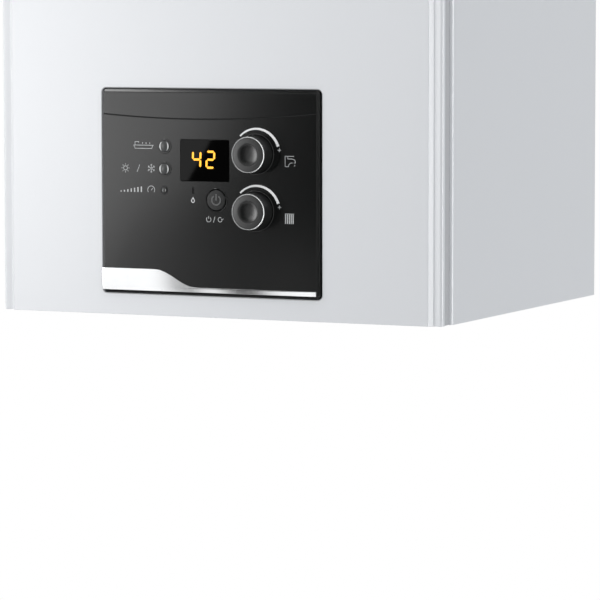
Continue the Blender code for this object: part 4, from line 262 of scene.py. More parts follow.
def rounded_line(corners, steps=6):
    """A line in plan through (x, y, radius) corners, each turned through an arc of its radius."""
    line = []
    for k, (x, y, radius) in enumerate(corners):
        here = Vector((x, y))
        if radius == 0 or k in (0, len(corners) - 1):
            line.append((x, y))
            continue
        back = (Vector(corners[k - 1][:2]) - here).normalized()
        on = (Vector(corners[k + 1][:2]) - here).normalized()
        half = back.angle(on) / 2
        centre = here + (back + on).normalized() * radius / math.sin(half)
        start = here + back * radius / math.tan(half) - centre
        turn = math.pi - 2 * half
        if back.x * on.y - back.y * on.x > 0:
            turn = -turn
        for step in range(steps + 1):
            line.append(tuple(centre + Matrix.Rotation(turn * step / steps, 2) @ start))
    return line


def stood(work, line, low, high):
    """The feet and the tops of a line in plan that stands upright."""
    return [[work.verts.new((x, y, z)) for x, y in line] for z in (low, high)]


def turned(name, direction, start, profile, sides=TURNED_SIDES, ring=False):
    """A lathe turned piece: (radius, height) points read down its outer side, from its axis to its axis."""
    work = bmesh.new()
    rings = []
    for radius, height in profile:
        if radius == 0:
            rings.append([work.verts.new((0, 0, height))] * sides)
        else:
            rings.append(ring_of(work, radius, height, sides))
    pairs = list(zip(rings, rings[1:]))
    if ring:
        pairs.append((rings[-1], rings[0]))
    for upper, lower in pairs:
        for k in range(sides):
            after = (k + 1) % sides
            corners = [upper[k], lower[k], lower[after], upper[after]]
            face = [v for i, v in enumerate(corners) if v not in corners[:i]]
            if len(face) > 2:
                work.faces.new(face)
    return solid(name, work, Matrix.Translation(Vector(start)) @ FACING[direction])


def fit(piece, made, body="chassis", stands_for=()):
    """Gives a piece its finish, the body it rides on and the nodes it stands for."""
    piece.data.materials.clear()
    piece.data.materials.append(made)
    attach(piece, body)
    if stands_for:
        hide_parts(*stands_for)
    return piece


stud_profile = [
    (0, STUD_LENGTH), (STUD_RADIUS * STUD_TIP_SHARE, STUD_LENGTH), (STUD_RADIUS, STUD_LENGTH - STUD_TIP),
    *zip((STUD_RADIUS, STUD_NECK, STUD_NECK, STUD_RADIUS), STUD_NECK_HEIGHTS), (STUD_RADIUS, 0), (0, 0),
]
for side, hand in SIDES:
    name = "side_panel_" + hand
    low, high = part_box(name)
    edge = max(abs(low.x), abs(high.x))
    front = low.y + STUD_LENGTH - SHEET / 2
    corners = [(side * (edge - PANEL_FLANGE), front, 0), (side * edge, front, PANEL_EDGE_RADIUS),
               (side * edge, high.y, 0)]
    work = bmesh.new()
    bridge(work, *stood(work, rounded_line(corners[::side], steps=8), low.z, high.z), closed=False)
    panel = thickened(solid("painted_" + name, work), SHEET, -1)
    fit(even_light(panel), enamel, stands_for=[name])
    for level, height in STUDS:
        place = (side * (edge - STUD_INSET), front + SHEET / 2, height)
        stud = turned(f"cover_stud_{hand}_{level}", "FRONT", place, stud_profile, 24)
        fit(stud, zinc)


# Front cover: one deep sheet steel pressing in white enamel, chamfered round its face, with a band beside
# the chamfer and a folded lip that leaves a dark shadow gap against the side panels.
COVER_LIP = 0.004
COVER_STEP = 0.002
COVER_BAND = 0.008
COVER_BAND_RISE = 0.0012
COVER_CHAMFER = 0.004
COVER_CHAMFER_WIDTH = 0.0036
COVER_CORNER = 0.0024
FOLD_RADIUS = 0.0012
TIGHT_FOLD = 0.0006
END_ROUNDING = 0.0012
OPENING_ROUNDING = 0.0009
PAINTED_GROOVE_SHADE = 0.68
FASCIA_GAP = 0.0009
FASCIA_CORNER = 0.003
BUTTON_RING_RISE = 0.0005
TOOL_REACH = 0.004
SLACK = 0.0002
TOUCHING = 1e-5
SOCKET_RADIUS = 0.0063
SOCKET_BORE = 0.0038
SOCKET_EDGE = 0.001
SOCKET_FLARE = 0.0006
PANEL_OVERHANG = 0.001

cover_low, cover_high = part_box("front_cover")
fascia_low, fascia_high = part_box("fascia")
FASCIA_FACE = fascia_low.y + BUTTON_RING_RISE
FOOT = fascia_low.z


def combined(piece, operation, tools):
    """Works the tools' shapes into the piece, then clears the tools away."""
    for tool in tools:
        change = piece.modifiers.new("Combine", "BOOLEAN")
        change.operation = operation
        change.solver = "EXACT"
        change.object = tool
        settle(piece)
        bpy.data.objects.remove(tool, do_unlink=True)
    return piece


def rounded_frame(left, right, low, high, radius, steps=6):
    """The loop of a rectangle with round corners, as (x, z) points."""
    loop = []
    for x, z, start in ((right - radius, high - radius, 0), (left + radius, high - radius, 1),
                        (left + radius, low + radius, 2), (right - radius, low + radius, 3)):
        for step in range(steps + 1):
            angle = (start + step / steps) * math.pi / 2
            loop.append(around(radius, angle, (x, z)))
    return loop


def curve_solid(name, curve, lines, closed, place=None):
    """The closed solid that a curve makes of the lines."""
    for line in lines:
        spline = curve.splines.new("POLY")
        spline.points.add(len(line) - 1)
        for spot, point in zip(spline.points, line):
            spot.co = (*point, 1)
        spline.use_cyclic_u = closed
    guide = bpy.data.objects.new(name, curve)
    bpy.context.scene.collection.objects.link(guide)
    mesh = mesh_now(guide)
    bpy.data.objects.remove(guide, do_unlink=True)
    work = bmesh.new()
    work.from_mesh(mesh)
    bmesh.ops.remove_doubles(work, verts=work.verts, dist=TOUCHING / 10)
    bmesh.ops.recalc_face_normals(work, faces=work.faces)
    return solid(name, work, place)


def front_plate(name, loops, face, depth, edge=0.0):
    """A flat plate seen from the front, from its (x, z) loops, with its edges rounded to the edge radius."""
    curve = bpy.data.curves.new(name, "CURVE")
    curve.dimensions = "2D"
    curve.fill_mode = "BOTH"
    curve.extrude = depth / 2 - edge
    curve.bevel_depth = edge
    curve.bevel_resolution = 1
    curve.offset = -edge
    place = Matrix.Translation((0, face + depth / 2, 0)) @ FACING["FRONT"]
    return curve_solid(name, curve, [[(x, z, 0) for x, z in loop] for loop in loops], True, place)


def bevelled(work, chosen, offset, segments):
    bmesh.ops.bevel(work, geom=[e for e in work.edges if chosen(e)], offset=offset, segments=segments,
                    profile=0.5, affect="EDGES", clamp_overlap=True)


def rounded_off(made, chosen, offset, segments):
    """Rounds the edges of a piece that the test chooses."""
    work = bmesh.new()
    work.from_mesh(made.data)
    bevelled(work, chosen, offset, segments)
    work.to_mesh(made.data)
    work.free()


def inside_fascia(spot, reach):
    """Whether a point lies over the fascia, or within the reach round it."""
    return (fascia_low.x - reach < spot.x < fascia_high.x + reach
            and fascia_low.z - reach < spot.z < fascia_high.z + reach)


def pressed_cover():
    edge, front, back = cover_high.x, cover_low.y, cover_high.y
    band = front + COVER_CHAMFER
    half = [
        (edge - COVER_STEP, back, 0),
        (edge - COVER_STEP, band + COVER_LIP, TIGHT_FOLD / 2),
        (edge, band + COVER_LIP, TIGHT_FOLD),
        (edge, band - COVER_BAND_RISE, COVER_CORNER),
        (edge - COVER_BAND, band, FOLD_RADIUS),
        (edge - COVER_BAND - COVER_CHAMFER_WIDTH, front, FOLD_RADIUS),
    ]
    line = rounded_line(half + [(-x, y, r) for x, y, r in reversed(half)])
    work = bmesh.new()
    feet, tops = stood(work, line, cover_low.z, cover_high.z)
    for k in range(len(line) - 1):
        work.faces.new((feet[k + 1], feet[k], tops[k], tops[k + 1]))
    work.faces.new(feet)
    work.faces.new(tops[::-1])
    shell = thickened(solid("pressed_front_cover", work), SHEET, -1)

    def at_an_end(rim):
        spots = [v.co for v in rim.verts]
        on_end = any(all(abs(spot.z - z) < TOUCHING for spot in spots) for z in (cover_low.z, cover_high.z))
        return on_end and not all(spot.y > back - TOUCHING for spot in spots)

    def round_the_opening(lip):
        spots = [v.co for v in lip.verts]
        on_face = all(abs(spot.y - front) < TOUCHING for spot in spots)
        return (on_face and all(inside_fascia(spot, gap + SLACK) for spot in spots)
                and lip.calc_face_angle(0) > 0.5)

    rounded_off(shell, at_an_end, END_ROUNDING, 3)
    gap = FASCIA_GAP
    loop = rounded_frame(fascia_low.x - gap, fascia_high.x + gap, FOOT - gap, fascia_high.z + gap,
                         FASCIA_CORNER + gap)
    combined(shell, "DIFFERENCE", [front_plate("opening_tool", [loop], front - TOOL_REACH, 2 * TOOL_REACH)])
    rounded_off(shell, round_the_opening, OPENING_ROUNDING, 2)
    smooth(shell)
    return shell


cover = fit(even_light(pressed_cover()), enamel, "cover", ["front_cover"])
# Painted shade: the walls of the shadow gap and the rounded edge round the fascia opening get a darker
# enamel, which stands in for the shade that falls there.
painted_groove_shade = grained("painted_shade_in_the_groove", tinted(ENAMEL_COLOUR, PAINTED_GROOVE_SHADE), 0.5, ORANGE_PEEL,
                     ORANGE_PEEL_RELIEF, swing=0.01)
cover.data.materials.append(painted_groove_shade)
for face in cover.data.polygons:
    in_gap = abs(face.normal.x) > 0.9 and face.center.y > cover_low.y + COVER_CHAMFER + COVER_LIP
    in_opening = inside_fascia(face.center, FASCIA_GAP + OPENING_ROUNDING + SLACK)
    if in_gap or in_opening and abs(face.normal.y) < 0.97 and face.center.y < cover_low.y + SHEET:
        face.material_index = 1
depth = cover_high.y - cover_low.y - SHEET
socket_profile = [
    (SOCKET_BORE, depth), (SOCKET_RADIUS, depth), (SOCKET_RADIUS, SOCKET_EDGE),
    (SOCKET_RADIUS - SOCKET_EDGE, 0), (SOCKET_BORE + SOCKET_FLARE, 0), (SOCKET_BORE, SOCKET_EDGE),
]
for side, hand in SIDES:
    for level, height in STUDS:
        place = (side * (cover_high.x + PANEL_OVERHANG - STUD_INSET), cover_high.y, height)
        socket = turned(f"spring_socket_{hand}_{level}", "FRONT", place, socket_profile, 32, ring=True)
        fit(socket, zinc, "cover")


# Insulation mat: a soft mineral wool mat in aluminium foil, stuck inside the cover above the controls.
# Its edges are pinched round and its foil is quilted by rows of shallow dimples.
MAT_PITCH = 0.008
MAT_QUILT = 0.040
MAT_DIMPLE = 0.0016
MAT_RIM_SHARE = 0.25
FOIL_COLOUR = (0.70, 0.71, 0.72)


def quilted_mat():
    low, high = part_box("cover_insulation")
    across = round((high.x - low.x) / MAT_PITCH)
    up = round((high.z - low.z) / MAT_PITCH)
    work = bmesh.new()
    grid = []
    for j in range(up + 1):
        row = []
        for i in range(across + 1):
            x = low.x + (high.x - low.x) * i / across
            z = low.z + (high.z - low.z) * j / up
            rim = min(i, across - i, j, up - j)
            crown = MAT_RIM_SHARE + (1 - MAT_RIM_SHARE) * math.sin(min(1, rim / 2) * math.pi / 2)
            waves = [math.sin(math.pi * run / MAT_QUILT) for run in (x - low.x, z - low.z)]
            dent = MAT_DIMPLE * (1 - abs(waves[0] * waves[1]) ** 0.5) * min(1, rim / 3)
            row.append(work.verts.new((x, low.y + (high.y - low.y) * crown - dent, z)))
        grid.append(row)
    for lower, upper in zip(grid, grid[1:]):
        for i in range(across):
            work.faces.new((lower[i], upper[i], upper[i + 1], lower[i + 1]))
    edge = grid[0] + [row[-1] for row in grid[1:]] + grid[-1][-2::-1] + [row[0] for row in grid[-2:0:-1]]
    flat = [work.verts.new((v.co.x, low.y, v.co.z)) for v in edge]
    bridge(work, edge, flat)
    work.faces.new(flat[::-1])
    bmesh.ops.recalc_face_normals(work, faces=work.faces)
    return solid("quilted_insulation_mat", work)


foil = metal("foil_faced_mat", FOIL_COLOUR, 0.38, grain=0.006, relief=0.0004, swing=0.05)
mat = fit(quilted_mat(), foil, "cover", ["cover_insulation"])


# Lid and floor plate: the lid is enamelled sheet with a punched ring for the flue and a blanked air hole.
# The floor plate is zinc coated and carries the water and gas connections.
SCREW_COLOUR = (0.58, 0.58, 0.57)
SCREW_RADIUS = 0.0036
SCREW_HEIGHT = 0.0024
SCREW_SIDES = 16
SCREW_HEAD_SHARES = ((1, 0), (1, 0.45), (0.86, 0.8), (0.55, 1))
CROSS_SHARES = (0.42, 0.1, 0.45)
LID_SCREW_INSET = 0.012
LID_SCREW_ROWS = (-0.030, -0.165, -0.300)

dress(enamel, "top_panel")
dress(zinc, "floor_plate")
screw_steel = metal("passivated_screws", SCREW_COLOUR, 0.3, grain=0.0015, relief=0.00002, swing=0.08)


def screws(name, places):
    """Pan head screws with a cross recess, standing upright on one surface."""
    work = bmesh.new()
    sizes = (SCREW_RADIUS, SCREW_RADIUS, SCREW_HEIGHT)
    arm, half, deep = [share * size for share, size in zip(CROSS_SHARES, sizes)]
    quarter = [(half, arm), (half, half), (arm, half), (arm, -half), (half, -half), (half, -arm)]
    cross = quarter + [(-x, -y) for x, y in quarter]
    for x, y, z in places:
        rings = [ring_of(work, SCREW_RADIUS * share, z + SCREW_HEIGHT * height, SCREW_SIDES, (x, y))
                 for share, height in SCREW_HEAD_SHARES]
        for lower, upper in zip(rings, rings[1:]):
            bridge(work, lower, upper)
        top, pit = [[work.verts.new((x + a, y + b, z + level)) for a, b in cross]
                    for level in (SCREW_HEIGHT, SCREW_HEIGHT - deep)]
        bridge(work, pit, top)
        work.faces.new(pit)
        work.faces.new(rings[0][::-1])
        open_edges = [e for v in rings[-1] + top for e in v.link_edges if len(e.link_faces) == 1]
        bmesh.ops.triangle_fill(work, use_beauty=True, edges=list(dict.fromkeys(open_edges)))
    bmesh.ops.recalc_face_normals(work, faces=work.faces)
    fit(solid(name, work), screw_steel)


lid_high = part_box("top_panel")[1]
lid_top = cover_high.z
lid_screws = [(side * (lid_high.x - LID_SCREW_INSET), y, lid_top) for side in (-1, 1) for y in LID_SCREW_ROWS]
screws("lid_screws", lid_screws)


# Connections: five brass stubs with a thread, each held in the floor plate by a hexagon nut, and the
# black nylon gland for the mains lead.
BRASS_COLOUR = (0.78, 0.58, 0.27)
STUBS = (("heating_flow_stub", 0.0132), ("hot_water_stub", 0.0105), ("gas_stub", 0.0132),
         ("cold_water_stub", 0.0105), ("heating_return_stub", 0.0132))
STUB_WALL = 0.003
STUB_BORE_DEPTH = 0.046
STUB_CHAMFER = (0.0008, 0.0012)
MOUTH_CHAMFER = (0.0004, 0.0006)
THREAD_FOOT = 0.002
THREAD_PITCH = 0.0018
THREAD_DEPTH = 0.0008
THREAD_TURNS = 8
NUT_MARGIN = 0.0045
NUT_HEIGHT = 0.014
NUT_STEPS = 24
NUT_CHAMFER_SHARE = 0.07
NUT_TRIM_SHARE = 1.03
FLOOR_UNDERSIDE = -0.645
SEAT_GAP = 0.0003

brass = metal("turned_brass", BRASS_COLOUR, 0.26, grain=0.0012, relief=0.00001, swing=0.08,
              stretch=(1, 1, 0.12))


def hexagon_nut(name, centre, low, high, corner, bore):
    """A hexagon nut with its corners turned off at both ends."""
    work = bmesh.new()
    rings = []
    chamfer = corner * NUT_CHAMFER_SHARE
    flat = corner * math.cos(math.pi / 6)
    for height, trim in ((low, True), (low + chamfer, False), (high - chamfer, False), (high, True)):
        ring = []
        for k in range(NUT_STEPS):
            angle = 2 * math.pi * k / NUT_STEPS
            off = (angle + math.pi / 6) % (math.pi / 3) - math.pi / 6
            reach = flat / math.cos(math.pi / 6 - abs(off))
            if trim:
                reach = min(reach, flat * NUT_TRIM_SHARE)
            ring.append(work.verts.new((*around(reach, angle, centre), height)))
        rings.append(ring)
    rings += [ring_of(work, bore, height, NUT_STEPS, centre) for height in (high, low)]
    for lower, upper in zip(rings, rings[1:] + rings[:1]):
        bridge(work, lower, upper)
    return solid(name, work)


def box_middle(name):
    """A node's middle in plan, its low and high corners."""
    low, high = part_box(name)
    return (low.x + high.x) / 2, (low.y + high.y) / 2, low, high


nut_top = FLOOR_UNDERSIDE - SEAT_GAP
for name, radius in STUBS:
    x, y, low, high = box_middle(name)
    inner = radius - STUB_WALL
    tall = high.z - low.z
    profile = [(0, tall), (radius, tall)]
    for k in range(THREAD_TURNS, 0, -1):
        foot = k * THREAD_PITCH + THREAD_FOOT
        profile += [(radius, foot), (radius - THREAD_DEPTH, foot - THREAD_PITCH * 0.45),
                    (radius, foot - THREAD_PITCH * 0.9)]
    profile += [
        (radius, STUB_CHAMFER[1]), (radius - STUB_CHAMFER[0], 0), (inner + MOUTH_CHAMFER[0], 0),
        (inner, MOUTH_CHAMFER[1]), (inner, STUB_BORE_DEPTH), (0, STUB_BORE_DEPTH),
    ]
    fit(turned("threaded_" + name, "UP", (x, y, low.z), profile), brass, stands_for=[name])
    nut = hexagon_nut(name.replace("stub", "lock_nut"), (x, y), nut_top - NUT_HEIGHT, nut_top,
                      radius + NUT_MARGIN, radius - SLACK)
    fit(nut, brass)

nylon = grained("black_nylon", (0.018, 0.018, 0.019), 0.42, grain=0.0004, relief=0.00002, swing=0.12)
dress(nylon, "cable_gland")


# Control housing: a black moulded box behind the fascia, hung on two pins in the floor plate's ears, and
# the green circuit board that it holds.
SOLDER_MASK = (0.015, 0.13, 0.055)

moulded = grained("moulded_black_plastic", (0.016, 0.017, 0.017), 0.46, grain=0.0005, relief=0.00003,
                  swing=0.15)
board = grained("green_circuit_board", SOLDER_MASK, 0.32, grain=0.0035, relief=0.00003, swing=0.45,
                stretch=(1, 1, 0.25))
dress(moulded, "control_housing")
dress(board, "control_board")


# Fascia: one moulding in deep grey gloss, bevelled round its face and split near the top by a shallow
# curved groove. Rings are moulded round its buttons and shallow seats under its knobs.
FASCIA_COLOUR = (0.0024, 0.0028, 0.0027)
FASCIA_ROUGHNESS = 0.165
FASCIA_SPECULAR = 0.34
FASCIA_DEPTH = 0.0067
FASCIA_WALL = 0.003
FASCIA_BEVEL = 0.0022
FASCIA_EDGE = 0.0004
FASCIA_RIM = 0.004
FASCIA_BACK = FASCIA_FACE + FASCIA_DEPTH
PAINTED_EDGE_SHADE = 0.6
SKIRT_WALL = 0.0018
SKIRT_DEPTH = 0.008
SKIRT_OVERLAP = 0.0005
PARTING = ((-0.1045, 0.1500), (0.0000, 0.1463), (0.0965, 0.1519))
PARTING_RADIUS = 0.0006
PARTING_STEPS = 36
KNOB_X = 0.039
KNOB_HEIGHTS = (("dhw_knob", 0.118), ("heating_knob", 0.071))
KNOB_SEAT_RADIUS = 0.0163
KNOB_SEAT_DEPTH = 0.0012
STEM_HOLE = 0.0036
BUTTONS = (("upper_button", -0.045, 0.1233, 0.0045, 0.0013), ("lower_button", -0.045, 0.1044, 0.0045, 0.0013),
           ("power_button", 0.0032, 0.0793, 0.0085, 0.0011))
BUTTON_CLEARANCE = 0.0004
BUTTON_RING_EDGE = 0.0003
BUTTON_RING_SINK = 0.001
HOLE_REACH = FASCIA_WALL + 0.001
PRESSURE_LAMP = (-0.0455, 0.0866, 0.003)
BURNER_LAMP = (-0.0188, 0.0868, 0.0012, 0.0045)
WINDOW = (-0.0303, 0.0148, 0.0945, 0.1294)
WINDOW_CORNER = 0.002
WINDOW_THICKNESS = 0.0018
WINDOW_LEDGE = 0.003

fascia_gloss = grained("dark_gloss_moulding", FASCIA_COLOUR, FASCIA_ROUGHNESS, grain=0.0006, relief=0.000002,
                       swing=0.1, specular=FASCIA_SPECULAR)


def block(name, x, y, z):
    work = bmesh.new()
    size = Vector((x[1] - x[0], y[1] - y[0], z[1] - z[0]))
    middle = Vector((x[0] + x[1], y[0] + y[1], z[0] + z[1])) / 2
    bmesh.ops.create_cube(work, size=1, matrix=Matrix.Translation(middle) @ Matrix.Diagonal(size.to_4d()))
    return solid(name, work)


def parting_height(x):
    """The height of the fascia's curved groove at x, a parabola through its three measured points."""
    total = 0
    for k, (here, height) in enumerate(PARTING):
        a, b = [point[0] for i, point in enumerate(PARTING) if i != k]
        total += height * (x - a) * (x - b) / ((here - a) * (here - b))
    return total


def swept(name, points, radius):
    """A round bar along the points, with flat ends."""
    curve = bpy.data.curves.new(name, "CURVE")
    curve.dimensions = "3D"
    curve.bevel_depth = radius
    curve.bevel_resolution = 3
    curve.use_fill_caps = True
    return curve_solid(name, curve, [points], False)


def fascia_tools():
    """What is taken out of the face: seats, holes, the window's seat with its view, and the groove."""
    tools = []
    behind, rise = HOLE_REACH, TOOL_REACH
    for name, up in KNOB_HEIGHTS:
        profile = [(0, rise), (KNOB_SEAT_RADIUS, rise), (KNOB_SEAT_RADIUS, -KNOB_SEAT_DEPTH),
                   (STEM_HOLE, -KNOB_SEAT_DEPTH), (STEM_HOLE, -behind), (0, -behind)]
        tools.append(turned(name + "_tool", "FRONT", (KNOB_X, FASCIA_FACE, FOOT + up), profile, 64))
    round_holes = [(x, up, radius + BUTTON_CLEARANCE) for _, x, up, radius, _ in BUTTONS]
    round_holes.append((*PRESSURE_LAMP[:2], PRESSURE_LAMP[2] + SEAT_GAP))
    for x, up, radius in round_holes:
        profile = [(0, rise), (radius, rise), (radius, -behind), (0, -behind)]
        tools.append(turned("hole_tool", "FRONT", (x, FASCIA_FACE, FOOT + up), profile, 48))
    x, up, wide, tall = BURNER_LAMP
    wide, tall = wide / 2 + SEAT_GAP, tall / 2 + SEAT_GAP
    tools.append(block("slit_tool", (x - wide, x + wide), (FASCIA_FACE - rise, FASCIA_FACE + behind),
                       (FOOT + up - tall, FOOT + up + tall)))
    left, right, low, high = WINDOW
    seat = rounded_frame(left - SEAT_GAP, right + SEAT_GAP, FOOT + low - SEAT_GAP, FOOT + high + SEAT_GAP,
                         WINDOW_CORNER)
    tools.append(front_plate("window_tool", [seat], FASCIA_FACE - rise, rise + WINDOW_THICKNESS + SEAT_GAP))
    tools.append(block("view_tool", (left + WINDOW_LEDGE, right - WINDOW_LEDGE),
                       (FASCIA_FACE, FASCIA_FACE + behind),
                       (FOOT + low + WINDOW_LEDGE, FOOT + high - WINDOW_LEDGE)))
    first, last = PARTING[0][0], PARTING[-1][0]
    groove = [first + (last - first) * k / PARTING_STEPS for k in range(-1, PARTING_STEPS + 2)]
    points = [(x, FASCIA_FACE, FOOT + parting_height(x)) for x in groove]
    return tools + [swept("groove_tool", points, PARTING_RADIUS)]


def moulded_fascia():
    loop = rounded_frame(fascia_low.x, fascia_high.x, FOOT, fascia_high.z, FASCIA_CORNER, 8)
    work = bmesh.new()
    front_ring = [work.verts.new((x, FASCIA_FACE, z)) for x, z in loop]
    back_ring = [work.verts.new((x, FASCIA_BACK, z)) for x, z in loop]
    work.faces.new(front_ring[::-1])
    work.faces.new(back_ring)
    bridge(work, front_ring, back_ring)
    bmesh.ops.recalc_face_normals(work, faces=work.faces)

    def on_face(e):
        return all(abs(v.co.y - FASCIA_FACE) < TOUCHING / 10 for v in e.verts)

    def ridge(e):
        return on_face(e) and len(e.link_faces) == 2 and e.calc_face_angle(0) > 0.3

    bevelled(work, on_face, FASCIA_BEVEL, 1)
    bevelled(work, ridge, FASCIA_EDGE, 2)
    face = solid("moulded_fascia", work)
    left, right = fascia_low.x + FASCIA_RIM, fascia_high.x - FASCIA_RIM
    low, high = FOOT + FASCIA_RIM, fascia_high.z - FASCIA_RIM
    skirt_back = FASCIA_BACK + SKIRT_DEPTH
    skirt = block("skirt", (left, right), (FASCIA_BACK - SKIRT_OVERLAP, skirt_back), (low, high))
    rings = []
    for name, x, up, radius, ring in BUTTONS:
        outer = radius + BUTTON_CLEARANCE + ring
        profile = [(0, 0), (outer - BUTTON_RING_EDGE, 0), (outer, -BUTTON_RING_EDGE),
                   (outer, -BUTTON_RING_SINK), (0, -BUTTON_RING_SINK)]
        rings.append(turned(name + "_collar", "FRONT", (x, fascia_low.y, FOOT + up), profile, 48))
    combined(face, "UNION", [skirt] + rings)
    wall = SKIRT_WALL
    pocket = block("pocket", (left + wall, right - wall),
                   (FASCIA_FACE + FASCIA_WALL, skirt_back + TOOL_REACH), (low + wall, high - wall))
    return combined(face, "DIFFERENCE", [pocket] + fascia_tools())


plate = fit(even_light(moulded_fascia()), fascia_gloss, stands_for=["fascia"])
# Painted shade: the faces along the fascia's lower and right hand edges get a darker colour with almost no
# gloss, which stands in for the shade on them.
painted_edge_shade = grained("painted_shade_on_moulded_edge", tinted(FASCIA_COLOUR, PAINTED_EDGE_SHADE), 0.5, grain=0.0004,
                    relief=0.000002, swing=0.05, specular=0.04)
plate.data.materials.append(painted_edge_shade)
for face in plate.data.polygons:
    below = face.normal.z < -0.3 and face.center.z < FOOT + FASCIA_EDGE
    beside = face.normal.x > 0.5 and face.center.x > fascia_high.x - FASCIA_EDGE
    if below or beside:
        face.material_index = 1


# Bright trim: a thin chromed strip along the fascia's foot that steps down in an S from left to right.
# Its face is flat and its edges are just broken, so it mirrors what stands before it in soft bands.
CHROME_COLOUR = (0.82, 0.83, 0.84)
TRIM_LEFT = -0.1043
TRIM_RIGHT = 0.0945
TRIM_BASE = 0.0020
TRIM_TALL = 0.0203
TRIM_LOW = 0.0060
TRIM_CURVE = (-0.0548, -0.0154)
TRIM_THICKNESS = 0.0009
TRIM_COLUMNS = 96
TRIM_EDGE = 0.0002

chrome = metal("bright_chrome", CHROME_COLOUR, 0.07, grain=0.006, relief=0.0000001, swing=0.015)


def eased(low, high, share):
    """A value that leaves low and reaches high softly."""
    return low + (high - low) * (1 - math.cos(math.pi * share)) / 2


def trim_top(x):
    """The height of the strip's upper edge at x, above the fascia's foot."""
    share = (x - TRIM_CURVE[0]) / (TRIM_CURVE[1] - TRIM_CURVE[0])
    return eased(TRIM_TALL, TRIM_LOW, min(1, max(0, share)))


columns = [TRIM_LEFT + (TRIM_RIGHT - TRIM_LEFT) * k / TRIM_COLUMNS for k in range(TRIM_COLUMNS + 1)]
outline = [(x, FOOT + trim_top(x)) for x in columns]
outline += [(TRIM_RIGHT, FOOT + TRIM_BASE), (TRIM_LEFT, FOOT + TRIM_BASE)]
front = FASCIA_FACE - SEAT_GAP - TRIM_THICKNESS
strip = front_plate("bright_trim_strip", [outline], front, TRIM_THICKNESS, TRIM_EDGE)
fit(even_light(strip), chrome, stands_for=["fascia_trim"])


# Display: a black glass window in its seat, with a two digit lamp display that glows amber through it.
# The digits are seven segment bars, 15 mm tall, and lean a little.
AMBER = (0.95, 0.42, 0.012)
DIGITS = "42"
DIGIT_HEIGHT = 0.0150
DIGIT_WIDTH = 0.0088
DIGIT_PITCH = 0.0128
DIGIT_STROKE = 0.0018
DIGIT_CENTRE = (-0.0089, 0.1128)
DIGIT_SLANT = 0.03
SEGMENTS = {"4": "fgbc", "2": "abged"}
SEGMENT_ENDS = {"a": (0, 2, 1, 2), "b": (1, 2, 1, 1), "c": (1, 1, 1, 0), "d": (0, 0, 1, 0), "e": (0, 0, 0, 1),
                "f": (0, 1, 0, 2), "g": (0, 1, 1, 1)}
BAR_SHARES = (0.16, 0.42)
PANE_EDGE = 0.0003
MARK_RISE = 0.00008

glass = grained("black_display_glass", (0.0015, 0.0015, 0.0015), 0.03, grain=0.01, relief=0.0000005,
                swing=0.05, specular=0.068)
left, right, low, high = WINDOW
loop = rounded_frame(left, right, FOOT + low, FOOT + high, WINDOW_CORNER)
pane = front_plate("display_glass", [loop], FASCIA_FACE, WINDOW_THICKNESS, PANE_EDGE)
fit(even_light(pane), glass, stands_for=["display_window"])

glow = grained("amber_glow", AMBER, 0.4, grain=0.002, relief=0.000001, swing=0.1)
shader_of(glow).inputs["Emission Color"].default_value = (*AMBER, 1)
shader_of(glow).inputs["Emission Strength"].default_value = 1


def bar(start, end, width):
    """The six sided outline of a lamp bar between two points."""
    along = (end - start).normalized()
    side = Vector((-along.y, along.x)) * width / 2
    inset, tip = [along * width * share for share in BAR_SHARES]
    a, b = start + inset, end - inset
    return [a, a + tip + side, b - tip + side, b, b - tip - side, a + tip - side]


def lamp_digits():
    loops = []
    for k, digit in enumerate(DIGITS):
        middle = DIGIT_CENTRE[0] + (k - 0.5) * DIGIT_PITCH
        x = [middle + s * (DIGIT_WIDTH - DIGIT_STROKE) / 2 for s in (-1, 1)]
        z = [DIGIT_CENTRE[1] + s * (DIGIT_HEIGHT - DIGIT_STROKE) / 2 for s in (-1, 0, 1)]
        for segment in SEGMENTS[digit]:
            a, b, c, d = SEGMENT_ENDS[segment]
            loop = bar(Vector((x[a], z[b])), Vector((x[c], z[d])), DIGIT_STROKE)
            loops.append([(px + DIGIT_SLANT * (pz - DIGIT_CENTRE[1]), FOOT + pz) for px, pz in loop])
    return front_plate("lamp_digits", loops, FASCIA_FACE - MARK_RISE, MARK_RISE * 3)


fit(lamp_digits(), glow)


# Printed marks: pad printed in white on the fascia, a thin skin of ink with no lettering. A tapered arc and
# a plus sign stand round each knob, and small pictures say what each control and lamp is for.
INK_COLOUR = (0.95, 0.95, 0.95)
SOFT_INK_COLOUR = (0.60, 0.61, 0.61)
ARC_RADIUS = 0.0210
ARC_ENDS = (math.radians(135), math.radians(18.5))
ARC_SHIFT = 0.0009
ARC_WIDTHS = (0.0013, 0.0024)
ARC_STEPS = 40
PLUS_RADIUS = 0.0214
PLUS_ANGLE = math.radians(10)
PLUS_ARM = 0.0015
STROKE = 0.0006
THIN_STROKE = 0.00042
FLAME_STROKE = THIN_STROKE * 1.3
BARB_STROKE = THIN_STROKE * 0.8
SCALE_STROKE = 0.0011

ink = grained("white_print", INK_COLOUR, 0.5, grain=0.0003, relief=0.000003, swing=0.04)
soft_ink = grained("pale_print", SOFT_INK_COLOUR, 0.5, grain=0.0003, relief=0.000003, swing=0.05)


def stroke(points, width):
    """A pen line of the width through the points: a four sided loop for each stretch, with mitred ends."""
    points = [Vector(p) for p in points]
    ways = [(b - a).normalized() for a, b in zip(points, points[1:])]
    rails = []
    for here, before, after in zip(points, ways[:1] + ways, ways + ways[-1:]):
        along = (before + after).normalized()
        side = Vector((-along.y, along.x)) * width / 2 / max(0.6, along.dot(after))
        rails.append((tuple(here + side), tuple(here - side)))
    return [[a[0], b[0], b[1], a[1]] for a, b in zip(rails, rails[1:])]


def pen(place, lines, width=THIN_STROKE):
    """Pen lines through points given in millimetres from a place."""
    loops = []
    for points in lines:
        loops += stroke([(place[0] + x / 1000, place[1] + z / 1000) for x, z in points], width)
    return loops


